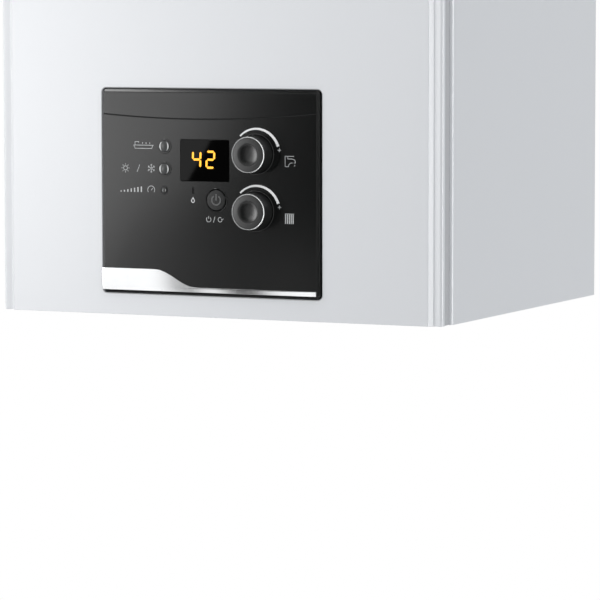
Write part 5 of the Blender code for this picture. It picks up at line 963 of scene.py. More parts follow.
def round_line(place, radius, start, end, steps, width=THIN_STROKE):
    """A pen line round part of a circle, between two angles in degrees."""
    turns = [math.radians(start + (end - start) * k / steps) for k in range(steps + 1)]
    return stroke([around(radius, turn, place) for turn in turns], width)


def rays(centre, angles, near, far, width=THIN_STROKE):
    """Straight pen lines that point away from the centre."""
    loops = []
    for angle in angles:
        loops += stroke([around(near, angle, centre), around(far, angle, centre)], width)
    return loops


def printed(name, loops, made=soft_ink, body="chassis", face=FASCIA_FACE):
    """Ink on a face: each loop is laid as its own film, so that crossing strokes do not cut each other."""
    work = bmesh.new()
    for loop in loops:
        if sum(a[0] * b[1] - b[0] * a[1] for a, b in zip(loop, loop[1:] + loop[:1])) < 0:
            loop = loop[::-1]
        top = [work.verts.new((x, face - MARK_RISE, z)) for x, z in loop]
        foot = [work.verts.new((x, face + MARK_RISE, z)) for x, z in loop]
        work.faces.new(top)
        work.faces.new(foot[::-1])
        bridge(work, foot, top)
    fit(solid(name, work), made, body)


def tapered_arc(centre):
    outer, inner = [], []
    for k in range(ARC_STEPS + 1):
        angle, width = [ends[0] + (ends[1] - ends[0]) * k / ARC_STEPS for ends in (ARC_ENDS, ARC_WIDTHS)]
        for line, radius in ((outer, ARC_RADIUS + width / 2), (inner, ARC_RADIUS - width / 2)):
            line.append(around(radius, angle, centre))
    return [[outer[k], outer[k + 1], inner[k + 1], inner[k]] for k in range(ARC_STEPS)]


for name, up in KNOB_HEIGHTS:
    centre = (KNOB_X + ARC_SHIFT, FOOT + up)
    printed(name + "_arc", tapered_arc(centre), ink)
    x, z = around(PLUS_RADIUS, PLUS_ANGLE, centre)
    plus = stroke([(x - PLUS_ARM, z), (x + PLUS_ARM, z)], STROKE)
    for start, end in ((STROKE / 2, PLUS_ARM), (-PLUS_ARM, -STROKE / 2)):
        plus += stroke([(x, z + start), (x, z + end)], STROKE)
    printed(name + "_plus", plus)

# Tap mark for hot water: a pillar, a lever above it and a curved spout with its drop.
TAP_PLACE = (0.0662, FOOT + 0.1083)
printed("tap_mark", pen(TAP_PLACE, [
    [(0, 0), (0, 8.6), (8.0, 8.6)],
    [(2.4, 8.6), (2.4, 6.4), (6.4, 6.4), (8.3, 5.8), (9.2, 4.6), (9.4, 3.2), (8.0, 3.2)],
    [(0, 0), (3.0, 0), (3.4, 1.7), (4.6, 2.9), (6.6, 3.2)],
    [(8.7, 1.6), (8.7, 0.5)],
]))

# Radiator mark for heating: five upright columns with clear gaps, and a feed pipe along the top.
RADIATOR_PLACE = (0.0665, FOOT + 0.0613)
COLUMNS = 5
COLUMN_PITCH = 0.00172
COLUMN_WIDTH = 0.00092
COLUMN_HEIGHT = 0.0078
x, z = RADIATOR_PLACE
top = z + COLUMN_HEIGHT
radiator = []
for k in range(COLUMNS):
    radiator += stroke([(x + k * COLUMN_PITCH, z), (x + k * COLUMN_PITCH, top)], COLUMN_WIDTH)
ends = (x - COLUMN_WIDTH / 2, x + (COLUMNS - 0.4) * COLUMN_PITCH)
radiator += stroke([(end, top + THIN_STROKE) for end in ends], THIN_STROKE)
printed("radiator_mark", radiator)

# Hot water mark at the left: a bath tub, a shower head and three drops.
BATH_PLACE = (-0.0652, FOOT + 0.1237)
bath = [[(-9.6, 0.2), (9.6, 0.2)], [(-8.8, 0), (-7.9, -2.5), (7.9, -2.5), (8.8, 0)],
        [(-7.9, 0.3), (-7.9, 3.0), (-4.4, 3.0), (-4.4, 2.2)]]
drops = [[(drop, 1.2), (drop, 2.7)] for drop in (-0.8, 2.6, 6.0)]
printed("hot_water_mark", pen(BATH_PLACE, bath + drops))

# Season mark: a sun, a slash and a snow star with barbs on its arms.
SUN_PLACE, SLASH_PLACE, STAR_PLACE = [(x, FOOT + 0.1046) for x in (-0.0822, -0.0700, -0.0578)]
SUN_RADII = (0.0018, 0.0027, 0.0039)
STAR_RADII = (0.0004, 0.0037)
BARB_PLACE = 0.0022
BARB_LENGTH = 0.0012
BARB_LEAN = 0.8
sun = round_line(SUN_PLACE, SUN_RADII[0], 0, 360, 14)
sun += rays(SUN_PLACE, [k * math.pi / 4 for k in range(8)], *SUN_RADII[1:])
star = []
for k in range(3):
    angle = (k + 0.5) * math.pi / 3
    for way in (-1, 1):
        star += rays(STAR_PLACE, [angle], *[way * radius for radius in STAR_RADII])
    for turn in (angle, angle + math.pi):
        knee = around(BARB_PLACE, turn, STAR_PLACE)
        star += rays(knee, [turn - BARB_LEAN, turn + BARB_LEAN], 0, BARB_LENGTH, BARB_STROKE)
slash = pen(SLASH_PLACE, [[(-1.2, -3.0), (1.2, 3.0)]])
printed("season_mark", sun + star + slash)

# Pressure mark: a gauge with its needle, and a short scale of rising bars beside it.
GAUGE_PLACE = (-0.0580, FOOT + 0.0866)
GAUGE_RADIUS = 0.0033
SCALE_PLACE = (-0.0865, GAUGE_PLACE[1])
gauge = round_line(GAUGE_PLACE, GAUGE_RADIUS, -35, 215, 20) + pen(GAUGE_PLACE, [[(0, -0.2), (1.5, 1.5)]])
bars = [[(k * 3.2, -2.0), (k * 3.2, 0.62 * (k + 1) - 1.7)] for k in range(7)]
gauge += pen(SCALE_PLACE, bars, SCALE_STROKE)
printed("pressure_mark", gauge)

# Flame mark: the outline of a burner flame. Power mark below the power button: the usual sign, a slash and
# a ring with an arrow head.
FLAME_PLACE = (BURNER_LAMP[0], FOOT + 0.0790)
POWER_PLACE = (-0.0042, FOOT + 0.0632)
POWER_RADIUS = 0.0021
RESET_PLACE = (0.0064, FOOT + 0.0632)
RESET_RADIUS = 0.0019
flame = [(0.1, 2.3), (-0.5, 1.1), (-1.2, 0.1), (-1.4, -0.9), (-0.8, -1.8), (0, -2.1), (0.8, -1.8),
         (1.4, -0.9), (1.1, 0.3), (0.6, 0.9), (0.1, 2.3)]
printed("flame_mark", pen(FLAME_PLACE, [flame], FLAME_STROKE), ink)
power = round_line(POWER_PLACE, POWER_RADIUS, 130, 410, 18)
power += pen(POWER_PLACE, [[(0, 0.5), (0, 2.9)], [(4.4, -2.4), (5.8, 2.4)]])
power += round_line(RESET_PLACE, RESET_RADIUS, 60, 370, 18)
power += pen(RESET_PLACE, [[(2.9, 1.0), (1.8, -0.3), (0.9, 0.9)]])
printed("power_label_mark", power)


# Knobs: turned in dark plastic with a bright ring let into the front edge and a round dish for a fingertip.
# Each is pushed on the stem of its potentiometer, inside a raised collar on the fascia.
KNOB_RADIUS = 0.0150
KNOB_FOOT_RADIUS = 0.0156
KNOB_FOOT_HEIGHT = 0.0012
KNOB_WAIST_SHARE = 0.45
KNOB_DISH_RADIUS = 0.0093
KNOB_DISH_DEPTH = 0.0008
KNOB_DISH_STEP = 0.0003
KNOB_DISH_RINGS = 8
KNOB_RIM_WIDTH = 0.0010
KNOB_RIM_HEIGHT = 0.0012
COLLAR_WIDTH = 0.0007
COLLAR_RISE = 0.0003
COLLAR_STEPS = 6
KNOB_STEM_RADIUS = 0.003
KNOB_SIDES = 72
KNOB_COLOUR = (0.009, 0.0095, 0.0095)

knob_plastic = grained("satin_knob_plastic", KNOB_COLOUR, 0.36, grain=0.0004, relief=0.000003, swing=0.08,
                       specular=0.6)
dish_gloss = grained("gloss_knob_dish", FASCIA_COLOUR, 0.22, grain=0.0004, relief=0.000002, swing=0.05)
ring_metal = metal("bright_knob_ring", (0.56, 0.57, 0.57), 0.2, grain=0.0008, relief=0.0000005, swing=0.04)

collar = []
for k in range(COLLAR_STEPS + 1):
    x, z = around(1, math.pi * k / COLLAR_STEPS)
    collar.append((KNOB_SEAT_RADIUS + COLLAR_WIDTH * (1 - x) / 2, COLLAR_RISE * z))
collar += [(KNOB_SEAT_RADIUS + COLLAR_WIDTH, -SEAT_GAP), (KNOB_SEAT_RADIUS, -SEAT_GAP)]
for (name, up), body in zip(KNOB_HEIGHTS, ("upper_knob", "lower_knob")):
    low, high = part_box(name)
    foot = FASCIA_FACE + KNOB_SEAT_DEPTH - SEAT_GAP
    tall = foot - low.y
    step = tall - KNOB_RIM_HEIGHT
    inner = KNOB_RADIUS - KNOB_RIM_WIDTH
    profile = []
    for k in range(KNOB_DISH_RINGS + 1):
        share = k / KNOB_DISH_RINGS
        profile.append((KNOB_DISH_RADIUS * share, tall - KNOB_DISH_STEP - KNOB_DISH_DEPTH * (1 - share ** 3)))
    profile += [
        (KNOB_DISH_RADIUS + 0.0004, tall), (inner - 0.0005, tall - 0.0001), (inner, tall - 0.0004),
        (inner, step), (KNOB_RADIUS, step), (KNOB_RADIUS + 0.0002, tall * KNOB_WAIST_SHARE),
        (KNOB_FOOT_RADIUS, KNOB_FOOT_HEIGHT), (KNOB_FOOT_RADIUS, 0), (KNOB_STEM_RADIUS, 0),
        (KNOB_STEM_RADIUS, foot - high.y), (0, foot - high.y),
    ]
    place = (KNOB_X, foot, FOOT + up)
    knob = even_light(turned("turned_" + name, "FRONT", place, profile, KNOB_SIDES))
    fit(knob, knob_plastic, body, [name])
    knob.data.materials.append(dish_gloss)
    for face in knob.data.polygons:
        at = knob.matrix_world @ face.center
        in_dish = math.hypot(at.x - place[0], at.z - place[2]) < KNOB_DISH_RADIUS
        if in_dish and at.y < low.y + KNOB_DISH_DEPTH + 2 * KNOB_DISH_STEP:
            face.material_index = 1
    fit(turned(name + "_collar", "FRONT", (KNOB_X, FASCIA_FACE, FOOT + up), collar, KNOB_SIDES, ring=True),
        knob_plastic)
    rim = [
        (inner + 0.0002, tall - 0.0001), (inner + 0.0004, tall), (KNOB_RADIUS - 0.0004, tall),
        (KNOB_RADIUS - 0.0001, tall - 0.0002), (KNOB_RADIUS, tall - 0.0005), (KNOB_RADIUS, step + SEAT_GAP),
        (inner + 0.0002, step + SEAT_GAP),
    ]
    bright_ring = turned("bright_" + name + "_ring", "FRONT", place, rim, KNOB_SIDES, ring=True)
    fit(bright_ring, ring_metal, body, [name + "_rim"])


# Push buttons: two domed caps moulded in grey plastic and one broad flat power cap, each held behind the
# fascia by its flange. Bright crescents laid at the sides of the domes are painted highlights, and the power
# sign is printed.
BUTTON_RISE = 0.0024
BUTTON_FLANGE = 0.0012
BUTTON_FLANGE_BACK = -0.0013
BUTTON_STEM_RADIUS = 0.002
BUTTON_CROWN = 2.4
BUTTON_CAP_SHARE = 0.45
POWER_EDGE = 0.0005
POWER_SIGN_WIDTH = 0.0011
POWER_SIGN_RADIUS = 0.0039
CRESCENT_SPAN = math.radians(62)
CRESCENT_WIDTH_SHARE = 0.30
CRESCENT_EDGE_SHARE = 0.96
CRESCENT_STEPS = 12


def crescent(name, place, side, radius, share, height_at):
    """A thin crescent laid on a dome beside its edge, as wide as its share of the widest one: a painted
    highlight.
    """
    work = bmesh.new()
    outer, inner = [], []
    for k in range(CRESCENT_STEPS + 1):
        swing = (2 * k / CRESCENT_STEPS - 1) * CRESCENT_SPAN
        edge = radius * CRESCENT_EDGE_SHARE
        width = radius * CRESCENT_WIDTH_SHARE * share * math.cos(swing / CRESCENT_SPAN * math.pi / 2)
        for line, reach in ((outer, edge), (inner, edge - width)):
            x, y = around(reach, swing)
            line.append(work.verts.new((side * x, y, height_at(reach) + MARK_RISE)))
    bridge(work, outer, inner, closed=False)
    bmesh.ops.recalc_face_normals(work, faces=work.faces)
    film = solid(name, work, Matrix.Translation(Vector(place)) @ FACING["FRONT"])
    return thickened(film, MARK_RISE * 2, 0)


def dome_height(reach, front, radius):
    return front - BUTTON_RISE * BUTTON_CAP_SHARE * (reach / radius) ** BUTTON_CROWN


cap_plastic = grained("satin_cap_plastic", (0.0045, 0.005, 0.005), 0.25, grain=0.0004, relief=0.000002,
                      swing=0.08, specular=FASCIA_SPECULAR)
cap_grey = grained("grey_button_plastic", (0.060, 0.062, 0.062), 0.3, grain=0.0004, relief=0.000001,
                   swing=0.05, specular=FASCIA_SPECULAR)
painted_button_highlight = grained("painted_highlight_on_button", (0.75, 0.76, 0.76), 0.25, grain=0.0004, relief=0.000001,
                       swing=0.05, metallic=0.4)
inside = FASCIA_FACE + FASCIA_WALL
for name, x, up, radius, _ in BUTTONS:
    body = name.replace("button", "push_button")
    low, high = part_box(name)
    front = inside - low.y
    place = (x, inside, FOOT + up)
    domed = name != "power_button"
    if domed:
        profile = [(radius * k / 10, dome_height(k / 10, front, 1)) for k in range(11)]
    else:
        profile = [(0, front)] + shoulder(radius, front, POWER_EDGE, 3)
    profile += [
        (radius, -SEAT_GAP), (radius + BUTTON_FLANGE, -SEAT_GAP),
        (radius + BUTTON_FLANGE, BUTTON_FLANGE_BACK), (BUTTON_STEM_RADIUS, BUTTON_FLANGE_BACK),
        (BUTTON_STEM_RADIUS, inside - high.y), (0, inside - high.y),
    ]
    cap = turned("domed_" + name, "FRONT", place, profile, 48)
    if not domed:
        fit(even_light(cap), cap_plastic, body, [name])
        continue
    fit(cap, cap_grey, body, [name])
    # Painted highlights: a bright crescent at each side of the dome, the left one wider.
    for (side, hand), share in zip(SIDES, (1.0, 0.7)):
        painted_highlight = crescent(f"{name}_{hand}_inlay", place, side, radius, share,
                         lambda reach: dome_height(reach, front, radius))
        fit(painted_highlight, painted_button_highlight, body)

place = (BUTTONS[2][1], FOOT + BUTTONS[2][2])
sign = round_line(place, POWER_SIGN_RADIUS, 122, 418, 28, POWER_SIGN_WIDTH)
sign += pen(place, [[(0, -0.2), (0, 5.2)]], POWER_SIGN_WIDTH)
sign_grey = grained("grey_power_sign", (0.095, 0.097, 0.097), 0.5, grain=0.0003, relief=0.000003, swing=0.05)
printed("power_sign", sign, sign_grey, "power_push_button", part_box("power_button")[0].y)


# Lamps: a small round lens for water pressure, with two glints beside its middle, and a narrow slit lens
# over the burner lamp. Both are moulded in smoked plastic and pushed into the fascia.
LAMP_GLINT_SHARE = 0.55
LAMP_CROWN = 0.0005
lens = grained("smoked_lens", (0.011, 0.011, 0.011), 0.3, grain=0.001, relief=0.000001, swing=0.15,
               specular=0.09)
lens_face = grained("clear_lens_face", (0.022, 0.022, 0.022), 0.3, grain=0.0008, relief=0.000001,
                    swing=0.2, specular=0.3)
glint_tone = grained("lens_glint", (0.42, 0.43, 0.43), 0.3, grain=0.0008, relief=0.000001, swing=0.05)
dress(lens, "burner_lamp")
x, up, radius = PRESSURE_LAMP
low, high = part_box("pressure_lamp")
place = (x, FASCIA_FACE, FOOT + up)
front, back = FASCIA_FACE - low.y, FASCIA_FACE - high.y
profile = [(radius * share, front - LAMP_CROWN * share ** 2) for share in (0, 0.25, 0.5, 0.75, 1)]
dome = turned("pressure_lens", "FRONT", place, profile + [(radius, back), (0, back)], 32)
fit(dome, lens_face, stands_for=["pressure_lamp"])
for side, hand in SIDES:
    glint_radius = radius * LAMP_GLINT_SHARE
    glint = crescent(f"pressure_lens_{hand}_glint", place, side, glint_radius, 1, lambda reach: front)
    fit(glint, glint_tone)


# Burner: stainless blades in a zinc coated tray on its cradle, fed by a cast aluminium gas manifold. The
# blades are pressed in halves and spot welded, and the tray stands on its cradle.
stainless = metal("burner_stainless", (0.56, 0.55, 0.53), 0.32, grain=0.004, relief=0.00002, swing=0.12,
                  stretch=(1, 1, 0.2))
cast = metal("cast_aluminium", (0.60, 0.61, 0.62), 0.48, grain=0.0012, relief=0.00012, swing=0.1)
dress(stainless, "burner_blades")
dress(zinc, "burner_cradle", "burner_tray")
dress(cast, "gas_manifold")


# Combustion chamber and hood: folded aluminised sheet. The chamber is lined with ceramic fibre board, and
# three electrodes in glazed ceramic stand over the burner.
aluminised = metal("aluminised_sheet", (0.55, 0.56, 0.57), 0.42, grain=0.010, relief=0.00002, swing=0.10)
fibre = grained("ceramic_fibre_board", (0.74, 0.71, 0.64), 0.9, grain=0.0015, relief=0.0003, swing=0.10)
ceramic = grained("glazed_ceramic", (0.80, 0.79, 0.75), 0.22, grain=0.003, relief=0.00001, swing=0.03)
dress(aluminised, "combustion_chamber", "flue_hood")
dress(fibre, "chamber_lining")
dress(ceramic, "ignition_electrodes")


# Heat exchanger: copper fins brazed on drawn copper tubes, dulled and darkened by heat. Its return bends
# are brazed on at the ends of the tubes.
COPPER = (0.80, 0.42, 0.27)

copper = metal("drawn_copper", tinted(COPPER, 0.82), 0.42, grain=0.02, relief=0.00003, swing=0.16)
dress(copper, "heat_exchanger")


# Fan: a pressed scroll with a spigot and a cast aluminium wheel, and beside it the switch that feels its
# pressure. The motor is a deep drawn steel can with a swage round it, held by three screws on the scroll.
MOTOR_FOOT = 0.0032
MOTOR_LEDGE = 0.008
MOTOR_SHAFT_BORE = 0.0038
MOTOR_BORE_SHARE = 0.62
MOTOR_ROUNDING = 0.005
MOTOR_GROOVE_SHARES = (0.35, 0.38, 0.62, 0.65)
MOTOR_SWAGE_SHARES = (0.60, 0.58, 0.52, 0.50)
MOTOR_PRESSING = 0.0008
MOTOR_FILLET = 0.0015
MOTOR_EDGE = 0.0005
MOTOR_SCREW_OUT = 0.0045
MOTOR_SCREW_ANGLES = (30, 150, 270)

dress(zinc, "fan_housing")
dress(cast, "fan_rotor")
dress(moulded, "pressure_switch")
motor_steel = metal("motor_can", (0.35, 0.36, 0.37), 0.35, grain=0.003, relief=0.00002, swing=0.08)


def screw_ring(name, centre, radius, angles, height):
    """Screws set round a centre, at angles in degrees."""
    screws(name, [(*around(radius, math.radians(angle), centre), height) for angle in angles])


x, y, low, high = box_middle("fan_motor")
tall = high.z - low.z
outer = (high.x - low.x) / 2
can = outer - MOTOR_LEDGE
swage = can + MOTOR_PRESSING
groove = zip(MOTOR_GROOVE_SHARES, (0, MOTOR_PRESSING, MOTOR_PRESSING, 0))
profile = [(0, tall)] + [(can * share, tall - deep) for share, deep in groove]
profile += shoulder(can, tall, MOTOR_ROUNDING, 6)
profile += [(radius, tall * share) for radius, share in zip((can, swage, swage, can), MOTOR_SWAGE_SHARES)]
profile += [
    (can, MOTOR_FOOT + MOTOR_FILLET), (can + MOTOR_FILLET, MOTOR_FOOT), (outer - MOTOR_EDGE, MOTOR_FOOT),
    (outer, MOTOR_FOOT - MOTOR_EDGE), (outer, 0), (MOTOR_SHAFT_BORE, 0),
    (MOTOR_SHAFT_BORE, tall * MOTOR_BORE_SHARE), (0, tall * MOTOR_BORE_SHARE),
]
motor = turned("can_motor", "UP", (x, y, low.z), profile, 64)
fit(motor, motor_steel, stands_for=["fan_motor"])
screw_ring("motor_screw", (x, y), can + MOTOR_SCREW_OUT, MOTOR_SCREW_ANGLES, low.z + MOTOR_FOOT)


# Flue collar: a spun air collar with a bead round it, flanged and screwed down on the lid by four screws.
# The flue pipe stands in its middle on three webs, so that fresh air comes down round the fumes.
FLUE_RADIUS = 0.030
FLUE_WALL = 0.0015
AIR_RADIUS = 0.050
AIR_RISE = 0.035
AIR_BEAD = 0.0012
AIR_BEAD_HEIGHTS = (0.0200, 0.0185, 0.0170, 0.0155)
AIR_FILLET = (0.0015, 0.0035)
PIPE_EDGE = 0.0004
COLLAR_RADIUS = 0.062
COLLAR_THICKNESS = 0.002
COLLAR_EDGE = 0.0006
COLLAR_SCREW_RING = 0.0565
COLLAR_SCREW_ANGLES = (45, 135, 225, 315)

x, y, low, high = box_middle("flue_collar")
seat = lid_top + SEAT_GAP
air = AIR_RADIUS - FLUE_WALL
profile = [
    (air, AIR_RISE), (AIR_RADIUS - PIPE_EDGE, AIR_RISE), (AIR_RADIUS, AIR_RISE - 0.0005),
    *zip((AIR_RADIUS, AIR_RADIUS + AIR_BEAD, AIR_RADIUS + AIR_BEAD, AIR_RADIUS), AIR_BEAD_HEIGHTS),
    (AIR_RADIUS, AIR_FILLET[1]), (AIR_RADIUS + AIR_FILLET[0], COLLAR_THICKNESS),
    (COLLAR_RADIUS - COLLAR_EDGE, COLLAR_THICKNESS), (COLLAR_RADIUS, COLLAR_THICKNESS - COLLAR_EDGE),
    (COLLAR_RADIUS, 0), (air, 0),
]
collar = turned("flue_air_collar", "UP", (x, y, seat), profile, 64, ring=True)
fit(collar, aluminised, stands_for=["flue_collar"])
rise, foot = high.z - seat, low.z - seat
bore = FLUE_RADIUS - FLUE_WALL
profile = [(bore, rise), (FLUE_RADIUS - PIPE_EDGE, rise), (FLUE_RADIUS, rise - 0.0006), (FLUE_RADIUS, foot),
           (bore, foot)]
fit(turned("flue_inner_pipe", "UP", (x, y, seat), profile, 56, ring=True), aluminised)
for k in range(3):
    web = block(f"collar_web_{k + 1}", (FLUE_RADIUS - SLACK, air + SLACK), (-FLUE_WALL / 2, FLUE_WALL / 2),
                (AIR_RISE / 4, AIR_RISE * 3 / 4))
    turn = 2 * math.pi * k / 3 + math.pi / 2
    web.data.transform(Matrix.Translation((x, y, seat)) @ Matrix.Rotation(turn, 4, "Z"))
    fit(web, aluminised)
screw_ring("collar_screws", (x, y), COLLAR_SCREW_RING, COLLAR_SCREW_ANGLES, seat + COLLAR_THICKNESS)


# Pipes: bright drawn copper, bent cold on easy radii between the water group, the exchanger and the gas
# valve, and held by union nuts.
pipe_copper = metal("bright_copper_pipe", tinted(COPPER, 0.9), 0.30, grain=0.03, relief=0.00002, swing=0.12)
dress(pipe_copper, "gas_pipe", "flow_pipe", "return_pipe", "vessel_pipe")


# Water group: hot stamped brass blocks, a brazed stack of stainless plates, a black pump and its iron body,
# the diverter motor, the safety valve with its red cap and the filling valve with its black knob.
stamped = metal("stamped_brass", (0.74, 0.56, 0.28), 0.36, grain=0.0015, relief=0.00010, swing=0.10)
iron = grained("painted_cast_iron", (0.030, 0.031, 0.033), 0.5, grain=0.0015, relief=0.0002, swing=0.15)
red_cap = grained("red_moulded_cap", (0.45, 0.02, 0.015), 0.4, grain=0.0006, relief=0.00003, swing=0.08)
dress(stamped, "flow_block", "return_block", "safety_valve", "filling_valve", "air_vent")
dress(stainless, "plate_exchanger")
dress(cast, "gas_valve")
dress(iron, "pump_volute")
dress(moulded, "pump_motor", "pump_impeller", "diverter_motor", "filling_knob")
dress(screw_steel, "diverter_stem")
dress(red_cap, "relief_cap")


# Expansion vessel: two pressed halves of steel seamed round the edge and stove enamelled in red. It stands
# behind the chamber, against the back frame.
red_enamel = grained("red_stove_enamel", (0.50, 0.018, 0.012), 0.34, grain=0.0014, relief=0.00003, swing=0.05)
dress(red_enamel, "expansion_vessel")


# Studio: a plain pale floor that fades into a white room, and soft lamps at a level where paint reads as its
# colour. Cards that only gloss sees stand at the left, at the right and above for the dark fascia.
ROOM_COLOUR = (0.95, 0.975, 1, 1)
ROOM_LIGHT = 0.55
FLOOR_HEIGHT = -1.95
FLOOR_RADIUS = 5.0
FLOOR_COLOUR = (0.82, 0.82, 0.82)
FLOOR_FADE = {"From Min": 0.6, "From Max": 3.0}
AIM = Vector((0, -0.2, -0.55))
CARD_PLANE = -1.5
CARD_STAGGER = 0.01
CARD_OUTLINE = ((-0.830, -0.800), (-0.6225, -0.6507), (-0.5740, -0.5784), (-0.545, -0.423), (-0.820, -0.400),
                (-1.200, -0.650), (-1.200, -1.100), (-0.850, -1.100))
EDGE_OUTLINE = ((-1.20, -0.80), (-0.80, -0.80), (-0.80, -0.30), (-1.20, -0.30))
SHADE_OUTLINE = ((-0.80, -1.02), (-0.08, -1.02), (-0.08, -0.28), (-0.80, -0.28))
FLAT_CARDS = (
    ("left_gloss_card", CARD_OUTLINE, CARD_PLANE, 3.7),
    ("left_edge_card", EDGE_OUTLINE, CARD_PLANE + CARD_STAGGER, 9.0),
    ("shade_card", SHADE_OUTLINE, CARD_PLANE - CARD_STAGGER, 0.04),
)
TURNED_CARDS = (
    ("right_gloss_card", (1.6, -0.45, -0.6), (0.9, 1.2), 10.0),
    ("top_gloss_card", (-0.985, -0.49, 0.94), (0.5, 0.3), 10.0),
    ("dark_top_flag", (-0.50, -0.49, 0.93), (0.44, 0.3), 0.05),
    ("dark_foot_flag", (-0.48, -0.45, -1.55), (1.0, 0.5), 0.0),
    ("dark_side_flag", (1.30, -0.96, -0.55), (0.32, 0.9), 0.0),
)
LAMPS = (
    ("key_lamp", (-1.12, -1.25, -0.14), 0.6, 9.1, (1.0, 0.99, 0.98)),
    ("top_lamp", (0.3, -1.3, 1.2), 1.6, 9.0, (1, 1, 1)),
    ("side_lamp", (2.0, 0.3, -0.3), 0.8, 3.85, (0.90, 0.945, 1.0)),
)


def worked(tree, kind, operation, *sources):
    """A maths node that works the operation on its sources."""
    made = node(tree, kind)
    made.operation = operation
    for source, socket in zip(sources, made.inputs):
        tree.links.new(source, socket)
    return made


def seen_rays(tree):
    """One for rays from the camera, and for those that gloss or glass sends on; nought for the rest."""
    path = node(tree, "LightPath")
    total = path.outputs["Is Camera Ray"]
    for kind in ("Is Glossy Ray", "Is Transmission Ray"):
        total = worked(tree, "Math", "MAXIMUM", total, path.outputs[kind]).outputs[0]
    return total


def blended(tree, share, plain, seen, out):
    """Sends the plain shader to the output, and the seen one in its place by the share."""
    mix = node(tree, "MixShader")
    for source, socket in zip((share, plain.outputs[0], seen.outputs[0]), mix.inputs):
        tree.links.new(source, socket)
    tree.links.new(mix.outputs[0], out.inputs["Surface"])


def gloss_card(name, corners, strength):
    """A flat card that only gloss sees, given by its corners in turn."""
    work = bmesh.new()
    work.faces.new([work.verts.new(corner) for corner in corners])
    card = solid(name, work)
    made = bpy.data.materials.new(name)
    made.use_nodes = True
    tree = made.node_tree
    tree.nodes.remove(shader_of(made))
    light = node(tree, "Emission", {"Strength": strength})
    tree.links.new(light.outputs[0], tree.nodes["Material Output"].inputs["Surface"])
    card.data.materials.append(made)
    card.visible_camera = False
    card.visible_diffuse = False
    card.visible_shadow = False


def turned_card(name, centre, size, strength):
    """A gloss card that is turned to the boiler."""
    centre = Vector(centre)
    turn = (AIM - centre).to_track_quat("Z", "Y")
    across, up = turn @ Vector((size[0] / 2, 0, 0)), turn @ Vector((0, size[1] / 2, 0))
    corners = [centre - across - up, centre + across - up, centre + across + up, centre - across + up]
    gloss_card(name, corners, strength)


world = bpy.data.worlds.new("white_room")
bpy.context.scene.world = world
world.use_nodes = True
tree = world.node_tree
tree.nodes.clear()
lit = node(tree, "Background", {"Color": ROOM_COLOUR, "Strength": ROOM_LIGHT})
white = node(tree, "Background", {"Color": (1, 1, 1, 1), "Strength": 1})
blended(tree, seen_rays(tree), lit, white, node(tree, "OutputWorld"))

work = bmesh.new()
bmesh.ops.create_circle(work, cap_ends=True, segments=96, radius=FLOOR_RADIUS)
floor = solid("pale_floor", work, Matrix.Translation((0, 0, FLOOR_HEIGHT)))
made = finish("pale_floor", FLOOR_COLOUR, 0.7)
tree = made.node_tree
in_plan = worked(tree, "VectorMath", "MULTIPLY", node(tree, "TexCoord").outputs["Object"])
in_plan.inputs[1].default_value = (1, 1, 0)
reach = worked(tree, "VectorMath", "LENGTH", in_plan.outputs[0])
fade = node(tree, "MapRange", FLOOR_FADE)
fade.interpolation_type = "SMOOTHSTEP"
tree.links.new(reach.outputs["Value"], fade.inputs["Value"])
share = worked(tree, "Math", "MULTIPLY", fade.outputs["Result"], seen_rays(tree))
white = node(tree, "Emission", {"Strength": 1})
blended(tree, share.outputs[0], shader_of(made), white, tree.nodes["Material Output"])
floor.data.materials.append(made)

for name, outline, plane, strength in FLAT_CARDS:
    gloss_card(name, [(x, plane, z) for x, z in outline], strength)
for card in TURNED_CARDS:
    turned_card(*card)
for name, place, size, power, colour in LAMPS:
    light = bpy.data.lights.new(name, "AREA")
    light.shape = "SQUARE"
    light.size = size
    light.energy = power
    light.color = colour
    lamp = bpy.data.objects.new(name, light)
    bpy.context.scene.collection.objects.link(lamp)
    lamp.location = place
    lamp.rotation_euler = (AIM - Vector(place)).to_track_quat("-Z", "Y").to_euler()
    lamp.visible_glossy = False


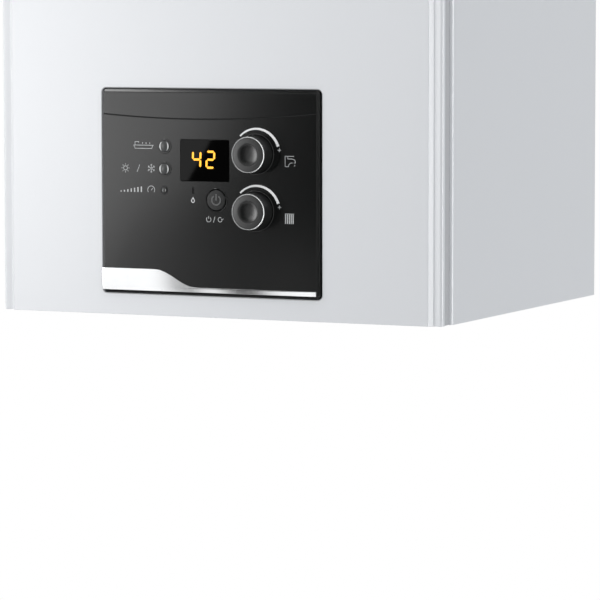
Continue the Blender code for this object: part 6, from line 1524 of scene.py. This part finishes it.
# Trim strips: a row of narrow upright cards from white to grey, which the flat bright trim mirrors as soft
# bands. Each strip glows at the tone that is wanted at its own place.
TRIM_TONES = ((-0.760, 1.14), (-0.690, 1.17), (-0.655, 1.26), (-0.613, 0.30), (-0.580, 1.16), (-0.541, 0.02),
              (-0.530, 0.02), (-0.490, 1.12), (-0.430, 1.36))
TRIM_STRIPS = 44
STRIP_FOOT = -0.870
STRIP_TOPS = (-0.700, -0.714)
STRIP_SLOPE = (-0.690, -0.600)


def tone_at(x):
    """The brightness that the bright trim mirrors at x, eased between the tones."""
    for (a, low), (b, high) in zip(TRIM_TONES, TRIM_TONES[1:]):
        if x <= b:
            return eased(low, high, (x - a) / (b - a))
    return TRIM_TONES[-1][1]


step = (TRIM_TONES[-1][0] - TRIM_TONES[0][0]) / TRIM_STRIPS
for k in range(TRIM_STRIPS):
    x = TRIM_TONES[0][0] + k * step
    share = min(1, max(0, (x - STRIP_SLOPE[0]) / (STRIP_SLOPE[1] - STRIP_SLOPE[0])))
    top = STRIP_TOPS[0] + share * (STRIP_TOPS[1] - STRIP_TOPS[0])
    corners = ((x, STRIP_FOOT), (x, top), (x + step, top), (x + step, STRIP_FOOT))
    gloss_card(f"trim_strip_{k + 1}", [(a, CARD_PLANE, z) for a, z in corners], tone_at(x + step / 2))


# Camera: the photograph's own view, low at the right front, taken through a long lens from about three
# metres away.
CAMERA_PLACE = (1.29211, -2.91609, -0.43233)
CAMERA_RIGHT = Vector((0.90398611, 0.42756011, -0.00121043))
CAMERA_UP = Vector((-0.03492275, 0.0766578, 0.99644568))
CAMERA_LENS = 207.83
CAMERA_SENSOR = 36
CAMERA_REACH = 100

view = bpy.data.cameras.new("photograph_view")
view.lens = CAMERA_LENS
view.sensor_width = CAMERA_SENSOR
view.clip_end = CAMERA_REACH
camera = bpy.data.objects.new("photograph_view", view)
bpy.context.scene.collection.objects.link(camera)
axes = Matrix((CAMERA_RIGHT, CAMERA_UP, CAMERA_RIGHT.cross(CAMERA_UP))).transposed()
camera.matrix_world = Matrix.Translation(CAMERA_PLACE) @ axes.to_4x4()
bpy.context.scene.camera = camera
bpy.context.scene.view_settings.view_transform = "Standard"
